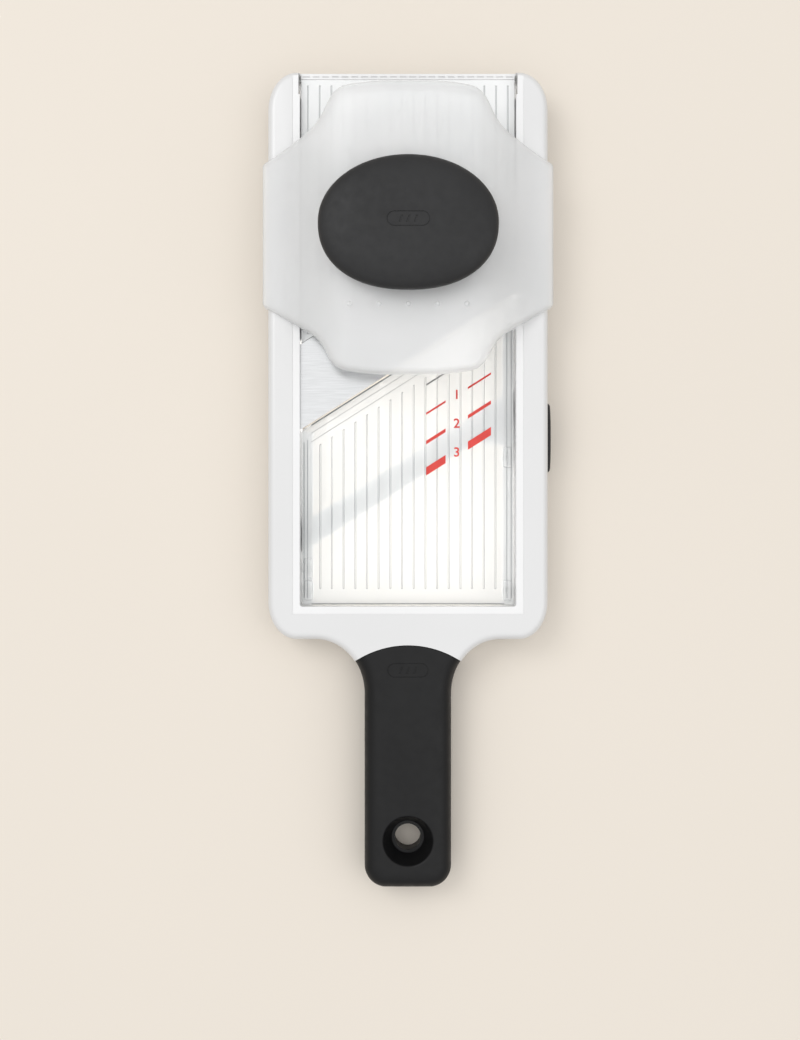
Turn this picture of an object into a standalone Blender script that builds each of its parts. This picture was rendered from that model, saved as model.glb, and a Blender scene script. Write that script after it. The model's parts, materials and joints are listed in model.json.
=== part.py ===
"""Hand-held mandoline slicer with a sliding food holder.

X runs to the right, Y from the handle to the far end and Z up, in metres.  The
origin is on the table, under the middle of the slicer.  The blade lies slantwise
across the frame: a line parallel to its edge is Y = v + BLADE_SLOPE * X, and the
slanted pieces are set out in v.
"""
from math import cos, hypot, pi, radians, sin

import bmesh
import bpy
from mathutils import Matrix

MM = 0.001

# Clearances
GAP = 0.3 * MM            # between pieces that touch
SLIDE_GAP = 0.5 * MM      # between a moving plate and the rails
HOLE_GAP = 0.3 * MM       # round a screw or a post

# Frame
BODY_LENGTH = 257.3 * MM
HANDLE_LENGTH = 113.6 * MM
FRAME_WIDTH = 127.0 * MM
FRAME_HEIGHT = 21.0 * MM
FOOT_STAND = 1.0 * MM     # feet below the frame's underside
RAIL_WIDTH = 14.5 * MM
WALL = 2.5 * MM
CORNER_X = 13.0 * MM      # the rounded corners of the body
CORNER_Y = 17.1 * MM
EDGE_ROUND = 3.5 * MM     # rounding of the frame's upper outer edge
SHOULDER_DEPTH = 14.9 * MM
FAR_BAR = 2.5 * MM
LEDGE_REACH = 5.0 * MM    # from a rail's inner wall towards the middle
LEDGE_THICK = 3.0 * MM

# Handle
GRIP_WIDTH = 39.6 * MM
NECK_X = 22.2 * MM        # quarter ellipse between the shoulder and the grip, if the shoulder is wide enough
NECK_Y = 25.1 * MM
GRIP_APEX = 2.8 * MM      # grip's top edge below the shoulder line
SPLIT_ANGLE = 36.4        # where the grip's top edge meets the neck, degrees on its ellipse
GRIP_CORNER = 10.0 * MM
GRIP_ROUND = 4.5 * MM
GRIP_DROP = 2.0 * MM      # the grip's top at its end, under its top at the neck
TANG_WIDTH = 28.0 * MM
TANG_HEIGHT = 12.0 * MM
TANG_LENGTH = 68.0 * MM
HANG_INSET = 21.9 * MM    # hang hole from the grip's end
HANG_BORE = 12.0 * MM
HANG_NECK = 14.8 * MM
HANG_MOUTH = 22.8 * MM
HANG_DEPTH = 10.0 * MM

# Blade and fixed runway
TABLE_DROP = 4.3 * MM     # blade and fixed runway below the rail tops
BLADE_SLOPE = 0.634
BLADE_EDGE = 54.5 * MM    # v of the cutting edge
BLADE_WIDTH = 38.7 * MM   # along Y
BLADE_THICK = 0.8 * MM
BLADE_BEVEL = 3.0 * MM
BLADE_LIP = 0.15 * MM     # thickness left at the cutting edge
BLADE_TUCK = 1.7 * MM     # blade ends inside the rail slots
PLATE_THICK = 2.5 * MM
STEP_WIDTH = 12.0 * MM    # runway's step under the blade
STEP_DROP = 0.3 * MM
CLAMP_WIDTH = 16.0 * MM
CLAMP_THICK = 2.3 * MM
RUNWAY_SCREW_Y = (0.075, 0.010)   # left and right pairs: from the blade's back and the far end

# Thickness setting
RUNWAY_THICK = 3.0 * MM
RUNWAY_GAP = 0.85 * MM    # along Y between the runway and the blade's edge
SETTING_STEP = 1.5 * MM
DETENT_PITCH = 13.6 * MM
DETENTS = 4               # three thicknesses and closed
DEEPEST_CUT = 4.0 * MM
BAR_NEAR = -1.8 * MM      # v of the bar's near edge
BAR_WIDTH = 13.6 * MM     # along Y
BAR_BOTTOM = 5.0 * MM
RIB_WIDTH = 2.0 * MM
RIB_INSET = 13.0 * MM     # outer ribs from the rail's inner wall
RIBS = 4
RIB_DEPTH = 0.4 * MM      # at the shallow end
POST_WIDTH = 4.0 * MM
POST_INSET = 3.5 * MM     # from the rail's inner wall
SOCKET_PAD = 7.0 * MM
STEM_NEAR = 18.0 * MM     # Y of the stem's near side at rest
STEM_WIDTH = 12.0 * MM
STEM_THICK = 3.0 * MM
TONGUE_THICK = 2.5 * MM
KNOB_LENGTH = 32.0 * MM
KNOB_HEIGHT = 9.5 * MM
KNOB_PROUD = 1.8 * MM
KNOB_SHIFT = 3.9 * MM     # knob's middle towards the handle from the stem's middle
SPRING_THICK = 0.4 * MM
SPRING_WIDTH = 3.0 * MM
SPRING_BUMP = 2.0 * MM
NOTCH_DEPTH = 1.0 * MM
NOTCH_HALF = 2.0 * MM

# Food holder
HOLDER_Y = 110.8 * MM     # middle of the holder at rest
HOLDER_LENGTH = 129.0 * MM
HOLDER_WALL = 1.7 * MM
SKIRT_GAP = 0.4 * MM
SKIRT_DROP = 6.0 * MM     # below the rail tops
WING_HALF = 31.9 * MM
WAIST = (40.2 * MM, 46.7 * MM)    # where the wing's slanted edge meets the body
BODY_CORNER = (32.6 * MM, 61.4 * MM)
CROWN = (16.5 * MM, 63.9 * MM)
HOLDER_RISE = 20.2 * MM   # plateau above the rail tops
WING_RISE = 2.2 * MM
PLATEAU = 23.3 * MM       # half width of the flat top
LIP = 10.0 * MM
SPIKE_PITCH_X = 12.8 * MM
SPIKE_PITCH_Y = 17.0 * MM
SPIKE_ROWS = (5, 7, 7, 7, 5)
SPIKE_ROOT = 3.0 * MM
SPIKE_TIP = 1.2 * MM
SPIKE_CLEAR = 4.0 * MM    # spike tips above the rail tops
HOLDER_SCREWS = ((-1.5, 0.0), (1.5, 0.0), (0.0, 0.5))    # in spike pitches

# Oval knob on the holder
OVAL_LENGTH = 78.2 * MM
OVAL_WIDTH = 58.4 * MM
OVAL_FOOT = 18.0 * MM     # how much narrower its foot is
BASE_HEIGHT = 6.2 * MM
CAP_HEIGHT = 8.2 * MM
SPIGOT_INSET = 18.0 * MM
SPIGOT_HEIGHT = 2.5 * MM

# Screws: head width, head height, shank width
SMALL_SCREW = (4.0 * MM, 1.6 * MM, 2.2 * MM)
LARGE_SCREW = (5.5 * MM, 1.9 * MM, 2.6 * MM)
THREAD_SKIN = 0.6 * MM    # plastic left above a blind screw hole

FOOT_LENGTH = 12.0 * MM
FOOT_DEPTH = 5.0 * MM     # inside its pocket
FOOT_NEAR = 9.0 * MM      # near feet from the shoulder line
FOOT_FAR = 16.0 * MM      # far feet from the far end

OVER = 1.0 * MM           # how far cutters and joined pieces run past a face

# Places that follow from the sizes
LENGTH = BODY_LENGTH + HANDLE_LENGTH
Y_FAR = LENGTH / 2
Y_END = -LENGTH / 2
Y_SHOULDER = Y_FAR - BODY_LENGTH
Y_WINDOW = Y_SHOULDER + SHOULDER_DEPTH
HALF = FRAME_WIDTH / 2
INNER = HALF - RAIL_WIDTH
Z_BOTTOM = FOOT_STAND
Z_RAIL = Z_BOTTOM + FRAME_HEIGHT
Z_TABLE = Z_RAIL - TABLE_DROP
Z_PLATE = Z_TABLE - PLATE_THICK
Z_LEDGE = Z_PLATE - GAP
Z_RUNWAY = Z_TABLE - DEEPEST_CUT
Z_RUNWAY_UNDER = Z_RUNWAY - RUNWAY_THICK
GRIP_HALF = GRIP_WIDTH / 2
NECK_REACH = min(NECK_X, HALF - CORNER_X - GRIP_HALF - OVER)
BLADE_BACK = BLADE_EDGE + BLADE_WIDTH
WEDGE_SLOPE = SETTING_STEP / DETENT_PITCH
TRAVEL = DETENT_PITCH * (DETENTS - 1)
Z_BAR_SHELF = BAR_BOTTOM - GAP
Z_TONGUE = BAR_BOTTOM + STEM_THICK + GAP
STEM_MIDDLE = STEM_NEAR + STEM_WIDTH / 2
Z_SPRING = Z_TONGUE + TONGUE_THICK + GAP
Z_RACK = Z_SPRING + SPRING_THICK + SPRING_BUMP + GAP
SKIRT_IN = HALF + SKIRT_GAP
SKIRT_OUT = SKIRT_IN + HOLDER_WALL
Z_PLATEAU = Z_RAIL + HOLDER_RISE
Z_WING = Z_RAIL + WING_RISE
Z_BASE = Z_PLATEAU + GAP
Z_RIM = Z_BASE + BASE_HEIGHT
RAIL_SIDES = (-1, 1)

COLOURS = {
    "white_abs": ((0.86, 0.86, 0.84), 0.3, 0.0),
    "black_tpe": ((0.015, 0.015, 0.016), 0.6, 0.0),
    "clear_san": ((0.75, 0.8, 0.8), 0.1, 0.0),
    "frosted_pp": ((0.7, 0.72, 0.73), 0.45, 0.0),
    "grey_pom": ((0.55, 0.57, 0.58), 0.35, 0.0),
    "steel": ((0.6, 0.6, 0.61), 0.2, 1.0),
}


# Outlines and loops

def slant(x, v):
    """Y of the point at X on the line v, parallel to the blade."""
    return v + BLADE_SLOPE * x


def ellipse_arc(centre_x, centre_y, radius_x, radius_y, start, end, steps):
    """Points on an ellipse from one angle to another, in degrees."""
    turns = [radians(start + (end - start) * i / steps) for i in range(steps + 1)]
    return [(centre_x + radius_x * cos(a), centre_y + radius_y * sin(a)) for a in turns]


def mirrored(right):
    """Closed outline from its right half, which runs from bottom to top."""
    return right + [(-x, y) for x, y in reversed(right)]


def corner_shift(before, here, after):
    """Inward shift of a corner for an inset of one, on an anticlockwise outline."""
    first = hypot(here[0] - before[0], here[1] - before[1])
    second = hypot(after[0] - here[0], after[1] - here[1])
    n1 = (-(here[1] - before[1]) / first, (here[0] - before[0]) / first)
    n2 = (-(after[1] - here[1]) / second, (after[0] - here[0]) / second)
    scale = 1 + n1[0] * n2[0] + n1[1] * n2[1]
    return (n1[0] + n2[0]) / scale, (n1[1] + n2[1]) / scale


def inset(outline, distance):
    """Anticlockwise outline moved inward by a distance."""
    moved = []
    for i, here in enumerate(outline):
        shift = corner_shift(outline[i - 1], here, outline[(i + 1) % len(outline)])
        moved.append((here[0] + distance * shift[0], here[1] + distance * shift[1]))
    return moved


def rounded(corners, steps):
    """Outline whose corners, given as (x, y, radius), are arcs."""
    outline = []
    for i, (x, y, radius) in enumerate(corners):
        before, after = corners[i - 1], corners[(i + 1) % len(corners)]
        a = (before[0] - x, before[1] - y)
        b = (after[0] - x, after[1] - y)
        la, lb = hypot(*a), hypot(*b)
        a, b = (a[0] / la, a[1] / la), (b[0] / lb, b[1] / lb)
        cosine = a[0] * b[0] + a[1] * b[1]
        reach = min(radius * ((1 + cosine) / (1 - cosine)) ** 0.5, 0.45 * la, 0.45 * lb)
        for k in range(steps + 1):
            t = k / steps
            wa, wb = reach * (1 - t) ** 2, reach * t ** 2
            outline.append((x + wa * a[0] + wb * b[0], y + wa * a[1] + wb * b[1]))
    return outline


def flat(outline, z):
    """Loop of an outline at one height."""
    return [(x, y, z) for x, y in outline]


def prism(outline, low, high):
    """Loops of an upright solid."""
    return [flat(outline, low), flat(outline, high)]


def box(x0, x1, y0, y1, z0, z1):
    """Loops of a box."""
    return prism([(x0, y0), (x1, y0), (x1, y1), (x0, y1)], z0, z1)


def slanted(section, x0, x1):
    """Loops of a solid whose (v, z) section runs parallel to the blade."""
    return [[(x, slant(x, v), z) for v, z in section] for x in (x0, x1)]


def slanted_box(x0, x1, v0, v1, z0, z1):
    """Loops of a slanted slab."""
    return slanted([(v0, z0), (v1, z0), (v1, z1), (v0, z1)], x0, x1)


def along_x(section, x0, x1):
    """Loops of a solid whose (y, z) section runs along X."""
    return [[(x, y, z) for y, z in section] for x in (x0, x1)]


def along_y(section, y0, y1):
    """Loops of a solid whose (x, z) section runs along Y."""
    return [[(x, y, z) for x, z in section] for y in (y0, y1)]


def turned(x, y, profile, sides=16):
    """Loops of an upright round solid from its (radius, z) profile."""
    circle = [(cos(2 * pi * i / sides), sin(2 * pi * i / sides)) for i in range(sides)]
    return [[(x + r * c, y + r * s, z) for c, s in circle] for r, z in profile]


# Objects

def mesh_of(name, *solids):
    """Mesh of closed solids, each given as matching loops from one end to the other."""
    shape = bmesh.new()
    for loops in solids:
        rings = [[shape.verts.new(point) for point in loop] for loop in loops]
        shape.faces.new(rings[0])
        shape.faces.new(rings[-1])
        for lower, upper in zip(rings, rings[1:]):
            for i in range(len(lower)):
                j = (i + 1) % len(lower)
                shape.faces.new((lower[i], lower[j], upper[j], upper[i]))
    bmesh.ops.recalc_face_normals(shape, faces=shape.faces)
    mesh = bpy.data.meshes.new(name)
    shape.to_mesh(mesh)
    shape.free()
    return mesh


def piece(name, mesh, finish):
    """Object of one sub-part with its own material."""
    colour, roughness, metallic = COLOURS[finish]
    material = bpy.data.materials.new(name)
    material.use_nodes = True
    shader = material.node_tree.nodes["Principled BSDF"]
    shader.inputs["Base Color"].default_value = (*colour, 1)
    shader.inputs["Roughness"].default_value = roughness
    shader.inputs["Metallic"].default_value = metallic
    body = bpy.data.objects.new(name, mesh)
    body.data.materials.append(material)
    bpy.context.collection.objects.link(body)
    return body


def shape_with(target, operation, name, *solids):
    """Boolean step on a piece, with a hidden tool made of closed solids."""
    tool = bpy.data.objects.new(name, mesh_of(name, *solids))
    tool.hide_render = True
    tool.display_type = "WIRE"
    bpy.context.collection.objects.link(tool)
    step = target.modifiers.new(name, "BOOLEAN")
    step.operation = operation
    step.object = tool
    return tool


def cut(target, name, *solids):
    return shape_with(target, "DIFFERENCE", name, *solids)


def add(target, name, *solids):
    return shape_with(target, "UNION", name, *solids)


def smooth(body, angle=35):
    body.data.shade_smooth()
    body.data.set_sharp_from_angle(angle=radians(angle))


def axis_empty(name, place, *bodies):
    """Empty on a joint's axis that carries the moving pieces."""
    empty = bpy.data.objects.new(name, None)
    empty.location = place
    bpy.context.collection.objects.link(empty)
    for body in bodies:
        body.parent = empty
        body.matrix_parent_inverse = Matrix.Translation(place).inverted()


# Frame and grip

def silhouette(steps):
    """Plan of the frame and the grip together, anticlockwise."""
    right = ellipse_arc(GRIP_HALF - GRIP_CORNER, Y_END + GRIP_CORNER, GRIP_CORNER, GRIP_CORNER,
                        -90, 0, steps)
    right += ellipse_arc(GRIP_HALF + NECK_REACH, Y_SHOULDER - NECK_Y, NECK_REACH, NECK_Y, 180, 90, steps + 2)
    right += ellipse_arc(HALF - CORNER_X, Y_SHOULDER + CORNER_Y, CORNER_X, CORNER_Y, -90, 0, steps)
    right += ellipse_arc(HALF - CORNER_X, Y_FAR - CORNER_Y, CORNER_X, CORNER_Y, 0, 90, steps)
    return mirrored(right)


def grip_side(outset):
    """Outline of everything on the grip's side of its arched top edge."""
    turn = radians(SPLIT_ANGLE)
    split_x = GRIP_HALF + NECK_REACH * (1 - cos(turn))
    fall = Y_SHOULDER - GRIP_APEX - (Y_SHOULDER - NECK_Y * (1 - sin(turn)))
    radius = (split_x ** 2 + fall ** 2) / (2 * fall)
    middle = Y_SHOULDER - GRIP_APEX - radius
    top = ellipse_arc(0, middle, radius + outset, radius + outset, 50, 130, 14)
    return [(top[-1][0], Y_END - OVER), (top[0][0], Y_END - OVER)] + top


def edge_steps(radius, steps=3):
    """(inset, drop) pairs round a quarter circle, from the side to the top."""
    turns = [pi / 2 * k / steps for k in range(steps + 1)]
    return [(radius * (1 - cos(a)), radius * (1 - sin(a))) for a in turns]


def frame_stages():
    outline = silhouette(6)
    loops = [flat(outline, Z_BOTTOM)]
    loops += [flat(inset(outline, shift), Z_RAIL - drop) for shift, drop in edge_steps(EDGE_ROUND)]
    return loops


def make_frame():
    frame = piece("frame", mesh_of("frame", frame_stages()), "white_abs")
    cut(frame, "grip_space", prism(grip_side(GAP), Z_BOTTOM - OVER, Z_RAIL + OVER))
    cut(frame, "window", box(-INNER, INNER, Y_WINDOW, Y_FAR - FAR_BAR, Z_BOTTOM - OVER, Z_RAIL + OVER))
    cut(frame, "far_notch", box(-INNER, INNER, Y_FAR - FAR_BAR - OVER, Y_FAR + OVER,
                                Z_TABLE - GAP, Z_RAIL + OVER))
    cut(frame, "shoulder_hollow", box(-INNER, INNER, Y_SHOULDER + WALL, Y_WINDOW - WALL,
                                      Z_BOTTOM - OVER, Z_RAIL - WALL))
    hollow_near = Y_SHOULDER + FOOT_NEAR + FOOT_LENGTH + 2 * WALL
    hollow_far = Y_FAR - FOOT_FAR - FOOT_LENGTH - 2 * WALL
    for side in RAIL_SIDES:
        x0, x1 = sorted((side * (INNER + WALL), side * (HALF - WALL)))
        cut(frame, "rail_hollow", box(x0, x1, hollow_near, hollow_far, Z_BOTTOM - OVER, Z_RAIL - WALL))
        for y in foot_places():
            cut(frame, "foot_pocket", box(x0, x1, y - GAP, y + FOOT_LENGTH + GAP,
                                          Z_BOTTOM - OVER, Z_BOTTOM + FOOT_DEPTH + GAP))
    cut_blade_and_stem_slots(frame)
    add_ledges(frame)
    add_rack(frame)
    add(frame, "tang", box(-TANG_WIDTH / 2, TANG_WIDTH / 2, tang_end(), Y_SHOULDER + OVER,
                           tang_bottom(), tang_bottom() + TANG_HEIGHT))
    return frame


def tang_end():
    return Y_SHOULDER - GRIP_APEX - TANG_LENGTH


def tang_bottom():
    return Z_BOTTOM + (FRAME_HEIGHT - GRIP_DROP - TANG_HEIGHT) / 2


def foot_places():
    """Near ends of the near and far feet."""
    return Y_SHOULDER + FOOT_NEAR, Y_FAR - FOOT_FAR - FOOT_LENGTH


def cut_blade_and_stem_slots(frame):
    for side in RAIL_SIDES:
        x0, x1 = sorted((side * (INNER - OVER), side * (INNER + WALL + OVER)))
        cut(frame, "blade_slot", slanted_box(x0, x1, BLADE_EDGE - GAP, BLADE_BACK + GAP,
                                             Z_TABLE - BLADE_THICK - GAP, Z_TABLE + GAP))
    near, far = STEM_NEAR - GAP, STEM_NEAR + STEM_WIDTH + TRAVEL + GAP
    cut(frame, "stem_slot", box(INNER - OVER, INNER + WALL + OVER, near, far,
                                Z_BAR_SHELF, BAR_BOTTOM + STEM_THICK + GAP))
    cut(frame, "tongue_slot", box(HALF - WALL - OVER, HALF + OVER, near, far,
                                  Z_TONGUE - GAP, Z_TONGUE + TONGUE_THICK + GAP))


def posts():
    """Places of the runway's guide posts, clear of the bar's path."""
    x = INNER - POST_INSET
    near = Y_WINDOW + SOCKET_PAD
    left = slant(-INNER, BAR_NEAR) - SOCKET_PAD
    right = STEM_NEAR - SOCKET_PAD
    return (-x, near), (x, near), (-x, left), (x, right)


def runway_screws():
    """Places of the fixed runway's screws, on the ledges' middle lines."""
    x = INNER - LEDGE_REACH / 2
    from_blade, from_end = RUNWAY_SCREW_Y
    far = Y_FAR - FAR_BAR - from_end
    left = far - from_blade
    right = (slant(INNER, BLADE_BACK) + far) / 2
    return (-x, left), (-x, far), (x, right), (x, far)


def add_ledges(frame):
    """Ledges for the fixed runway and the bar, and sockets for the guide posts."""
    for side in RAIL_SIDES:
        x0, x1 = sorted((side * (INNER - LEDGE_REACH), side * (INNER + OVER)))
        ledge_start = slant(side * INNER, BLADE_BACK) + WALL
        add(frame, "runway_ledge", box(x0, x1, ledge_start, Y_FAR - FAR_BAR + OVER,
                                       Z_LEDGE - LEDGE_THICK, Z_LEDGE))
        shelf_end = slant(side * INNER, BLADE_EDGE)
        add(frame, "bar_shelf", box(x0, x1, Y_WINDOW - OVER, shelf_end, Z_BAR_SHELF - WALL, Z_BAR_SHELF))
    for x, y in posts():
        side = 1 if x > 0 else -1
        x0, x1 = sorted((side * (INNER - POST_INSET * 2), side * (INNER + OVER)))
        add(frame, "socket_pad", box(x0, x1, y - SOCKET_PAD / 2, y + SOCKET_PAD / 2,
                                     Z_BAR_SHELF - WALL, Z_RUNWAY_UNDER - 4 * GAP))
    post_hole = POST_WIDTH / 2 + HOLE_GAP
    cut(frame, "post_sockets", *(turned(x, y, ((post_hole, Z_BOTTOM), (post_hole, Z_RUNWAY_UNDER)))
                                 for x, y in posts()))
    screw_hole = SMALL_SCREW[2] / 2 + HOLE_GAP
    cut(frame, "runway_screw_holes", *(turned(x, y, ((screw_hole, Z_LEDGE - LEDGE_THICK - OVER),
                                                     (screw_hole, Z_LEDGE + OVER)), 12)
                                       for x, y in runway_screws()))


def rack_x():
    """Middle of the detent rack inside the right rail."""
    return INNER + RAIL_WIDTH / 2


def add_rack(frame):
    """Notched rib inside the right rail that the detent spring clicks into."""
    notches = [STEM_MIDDLE + DETENT_PITCH * k for k in range(DETENTS)]
    near, far = notches[0] - DETENT_PITCH / 2, notches[-1] + DETENT_PITCH / 2
    section = [(near, Z_RACK)]
    for y in notches:
        section += [(y - NOTCH_HALF, Z_RACK), (y, Z_RACK + NOTCH_DEPTH), (y + NOTCH_HALF, Z_RACK)]
    section += [(far, Z_RACK), (far, Z_RAIL - WALL + OVER), (near, Z_RAIL - WALL + OVER)]
    half = SPRING_WIDTH / 2 + GAP
    add(frame, "detent_rack", along_x(section, rack_x() - half, rack_x() + half))


def make_grip():
    """Soft grip moulded over the tang, with the hang hole."""
    outline = silhouette(6)

    def level(y, drop):
        share = min(1, max(0, (Y_SHOULDER - y) / HANDLE_LENGTH))
        return Z_RAIL - GRIP_DROP * share - drop

    def raised(shift, drop):
        return [(x, y, level(y, drop)) for x, y in inset(outline, shift)]

    low = [flat(inset(outline, shift), Z_BOTTOM + drop) for shift, drop in reversed(edge_steps(EDGE_ROUND))]
    high = [raised(shift, drop) for shift, drop in edge_steps(EDGE_ROUND)]
    grip = piece("handle_grip", mesh_of("handle_grip", low + high), "black_tpe")
    shape_with(grip, "INTERSECT", "grip_part", prism(grip_side(0), Z_BOTTOM - OVER, Z_RAIL + OVER))
    half = TANG_WIDTH / 2 + GAP
    cut(grip, "tang_space", box(-half, half, tang_end() - GAP, Y_SHOULDER,
                                tang_bottom() - GAP, tang_bottom() + TANG_HEIGHT + GAP))
    top = Z_RAIL - GRIP_DROP * (HANDLE_LENGTH - HANG_INSET) / HANDLE_LENGTH
    profile = ((HANG_BORE / 2, Z_BOTTOM - OVER), (HANG_BORE / 2, top - HANG_DEPTH),
               (HANG_NECK / 2, top - HANG_DEPTH), (HANG_MOUTH / 2, top), (HANG_MOUTH / 2, Z_RAIL + OVER))
    cut(grip, "hang_hole", turned(0, Y_END + HANG_INSET, profile, 24))
    return grip


def make_feet():
    for side, side_name in ((-1, "left"), (1, "right")):
        x0, x1 = sorted((side * (INNER + WALL + GAP), side * (HALF - WALL - GAP)))
        for y, end_name in zip(foot_places(), ("near", "far")):
            name = f"foot_{end_name}_{side_name}"
            loops = box(x0, x1, y, y + FOOT_LENGTH, 0, Z_BOTTOM + FOOT_DEPTH)
            piece(name, mesh_of(name, loops), "black_tpe")


# Screws

def make_screw(name, x, y, seat, tip, size):
    """Pan head screw with a star recess, its head under the seat height."""
    head, head_height, shank = size[0] / 2, size[1], size[2] / 2
    foot = seat - head_height
    sides = 12
    wide, narrow = head * 0.5, head * 0.36

    def star(z):
        radii = [wide if i % 2 else narrow for i in range(sides)]
        return [(x + r * cos(2 * pi * i / sides), y + r * sin(2 * pi * i / sides), z)
                for i, r in enumerate(radii)]

    loops = [star(foot + head_height * 0.5), star(foot)]
    loops += turned(x, y, ((head * 0.85, foot), (head, foot + head_height * 0.35), (head, seat),
                           (shank, seat), (shank, tip)), sides)
    return piece(name, mesh_of(name, loops), "steel")


# Fixed runway, blade and clamp

def clamp_screws():
    """Places of the clamp's screws, behind the blade's back edge."""
    v = BLADE_BACK + CLAMP_WIDTH / 4
    span = INNER - LEDGE_REACH - LARGE_SCREW[0]
    return [(x, slant(x, v)) for x in (-span + LARGE_SCREW[0], 0, span - LARGE_SCREW[0])]


def make_fixed_runway():
    side = INNER - SLIDE_GAP
    near = BLADE_BACK + GAP
    far = Y_FAR - FAR_BAR - GAP
    outline = [(-side, slant(-side, near)), (side, slant(side, near)), (side, far), (-side, far)]
    runway = piece("fixed_runway", mesh_of("fixed_runway", prism(outline, Z_PLATE, Z_TABLE)), "clear_san")
    add(runway, "blade_step", slanted_box(-side, side, near - STEP_WIDTH, near + OVER,
                                          Z_PLATE, Z_TABLE - BLADE_THICK - STEP_DROP))
    ceiling = Z_TABLE - THREAD_SKIN
    holes = [(SMALL_SCREW, place) for place in runway_screws()]
    holes += [(LARGE_SCREW, place) for place in clamp_screws()]
    cut(runway, "screw_holes", *(turned(x, y, ((size[2] / 2 + HOLE_GAP, Z_PLATE - OVER),
                                               (size[2] / 2 + HOLE_GAP, ceiling)), 12)
                                 for size, (x, y) in holes))
    for i, (x, y) in enumerate(runway_screws(), 1):
        make_screw(f"runway_screw_{i}", x, y, Z_LEDGE - LEDGE_THICK - GAP, ceiling - GAP, SMALL_SCREW)


def make_blade():
    """Blade ground from below, with its ends in the rail slots."""
    under = Z_TABLE - BLADE_THICK
    section = [(BLADE_EDGE, Z_TABLE - BLADE_LIP), (BLADE_EDGE + BLADE_BEVEL, under),
               (BLADE_BACK, under), (BLADE_BACK, Z_TABLE), (BLADE_EDGE, Z_TABLE)]
    reach = INNER + BLADE_TUCK
    piece("blade", mesh_of("blade", slanted(section, -reach, reach)), "steel")


def make_clamp():
    side = INNER - LEDGE_REACH - GAP
    middle = BLADE_BACK
    bottom = Z_LEDGE - CLAMP_THICK
    clamp = piece("blade_clamp", mesh_of("blade_clamp", slanted_box(
        -side, side, middle - CLAMP_WIDTH / 2, middle + CLAMP_WIDTH / 2, bottom, Z_LEDGE)), "steel")
    hole = LARGE_SCREW[2] / 2 + HOLE_GAP
    cut(clamp, "clamp_holes", *(turned(x, y, ((hole, bottom - OVER), (hole, Z_LEDGE + OVER)), 12)
                                for x, y in clamp_screws()))
    for i, (x, y) in enumerate(clamp_screws(), 1):
        make_screw(f"clamp_screw_{i}", x, y, bottom - GAP, Z_TABLE - THREAD_SKIN - GAP, LARGE_SCREW)


# Thickness setting

def wedge_height(v):
    """Underside of the runway's ribs at rest."""
    return Z_RUNWAY_UNDER - RIB_DEPTH - WEDGE_SLOPE * (v - BAR_NEAR)


def make_adjustable_runway():
    side = INNER - SLIDE_GAP
    near = Y_WINDOW + SLIDE_GAP
    front = BLADE_EDGE - RUNWAY_GAP
    outline = [(-side, near), (side, near), (side, slant(side, front)), (-side, slant(-side, front))]
    runway = piece("adjustable_runway",
                   mesh_of("adjustable_runway", prism(outline, Z_RUNWAY_UNDER, Z_RUNWAY)), "clear_san")
    inside = Z_RUNWAY_UNDER + GAP
    far = BAR_NEAR + BAR_WIDTH + TRAVEL
    section = [(BAR_NEAR, wedge_height(BAR_NEAR)), (far, wedge_height(far)), (far, inside), (BAR_NEAR, inside)]
    rib_pitch = (INNER - RIB_INSET) * 2 / (RIBS - 1)
    middles = [rib_pitch * (i - (RIBS - 1) / 2) for i in range(RIBS)]
    add(runway, "wedge_ribs", *(slanted(section, x - RIB_WIDTH / 2, x + RIB_WIDTH / 2) for x in middles))
    post_foot = Z_BOTTOM + GAP
    add(runway, "guide_posts", *(turned(x, y, ((POST_WIDTH / 2, post_foot), (POST_WIDTH / 2, inside)))
                                 for x, y in posts()))
    return runway


def make_thickness_bar():
    side = INNER - SLIDE_GAP
    far = BAR_NEAR + BAR_WIDTH
    section = [(BAR_NEAR, BAR_BOTTOM), (far, BAR_BOTTOM),
               (far, wedge_height(far) - GAP), (BAR_NEAR, wedge_height(BAR_NEAR) - GAP)]
    bar = piece("thickness_bar", mesh_of("thickness_bar", slanted(section, -side, side)), "grey_pom")
    top = BAR_BOTTOM + STEM_THICK
    pad_side = side - BAR_WIDTH
    add(bar, "stem_pad", box(pad_side, side, STEM_NEAR - OVER, slant(pad_side, far), BAR_BOTTOM, top))
    add(bar, "stem", box(side - OVER, HALF - WALL - GAP, STEM_NEAR, STEM_NEAR + STEM_WIDTH, BAR_BOTTOM, top))
    screw_x = rack_x()
    hole = SMALL_SCREW[2] / 2 + HOLE_GAP
    cut(bar, "knob_screw_hole", turned(screw_x, STEM_MIDDLE, ((hole, BAR_BOTTOM - OVER), (hole, top + OVER)), 12))
    return bar


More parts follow.
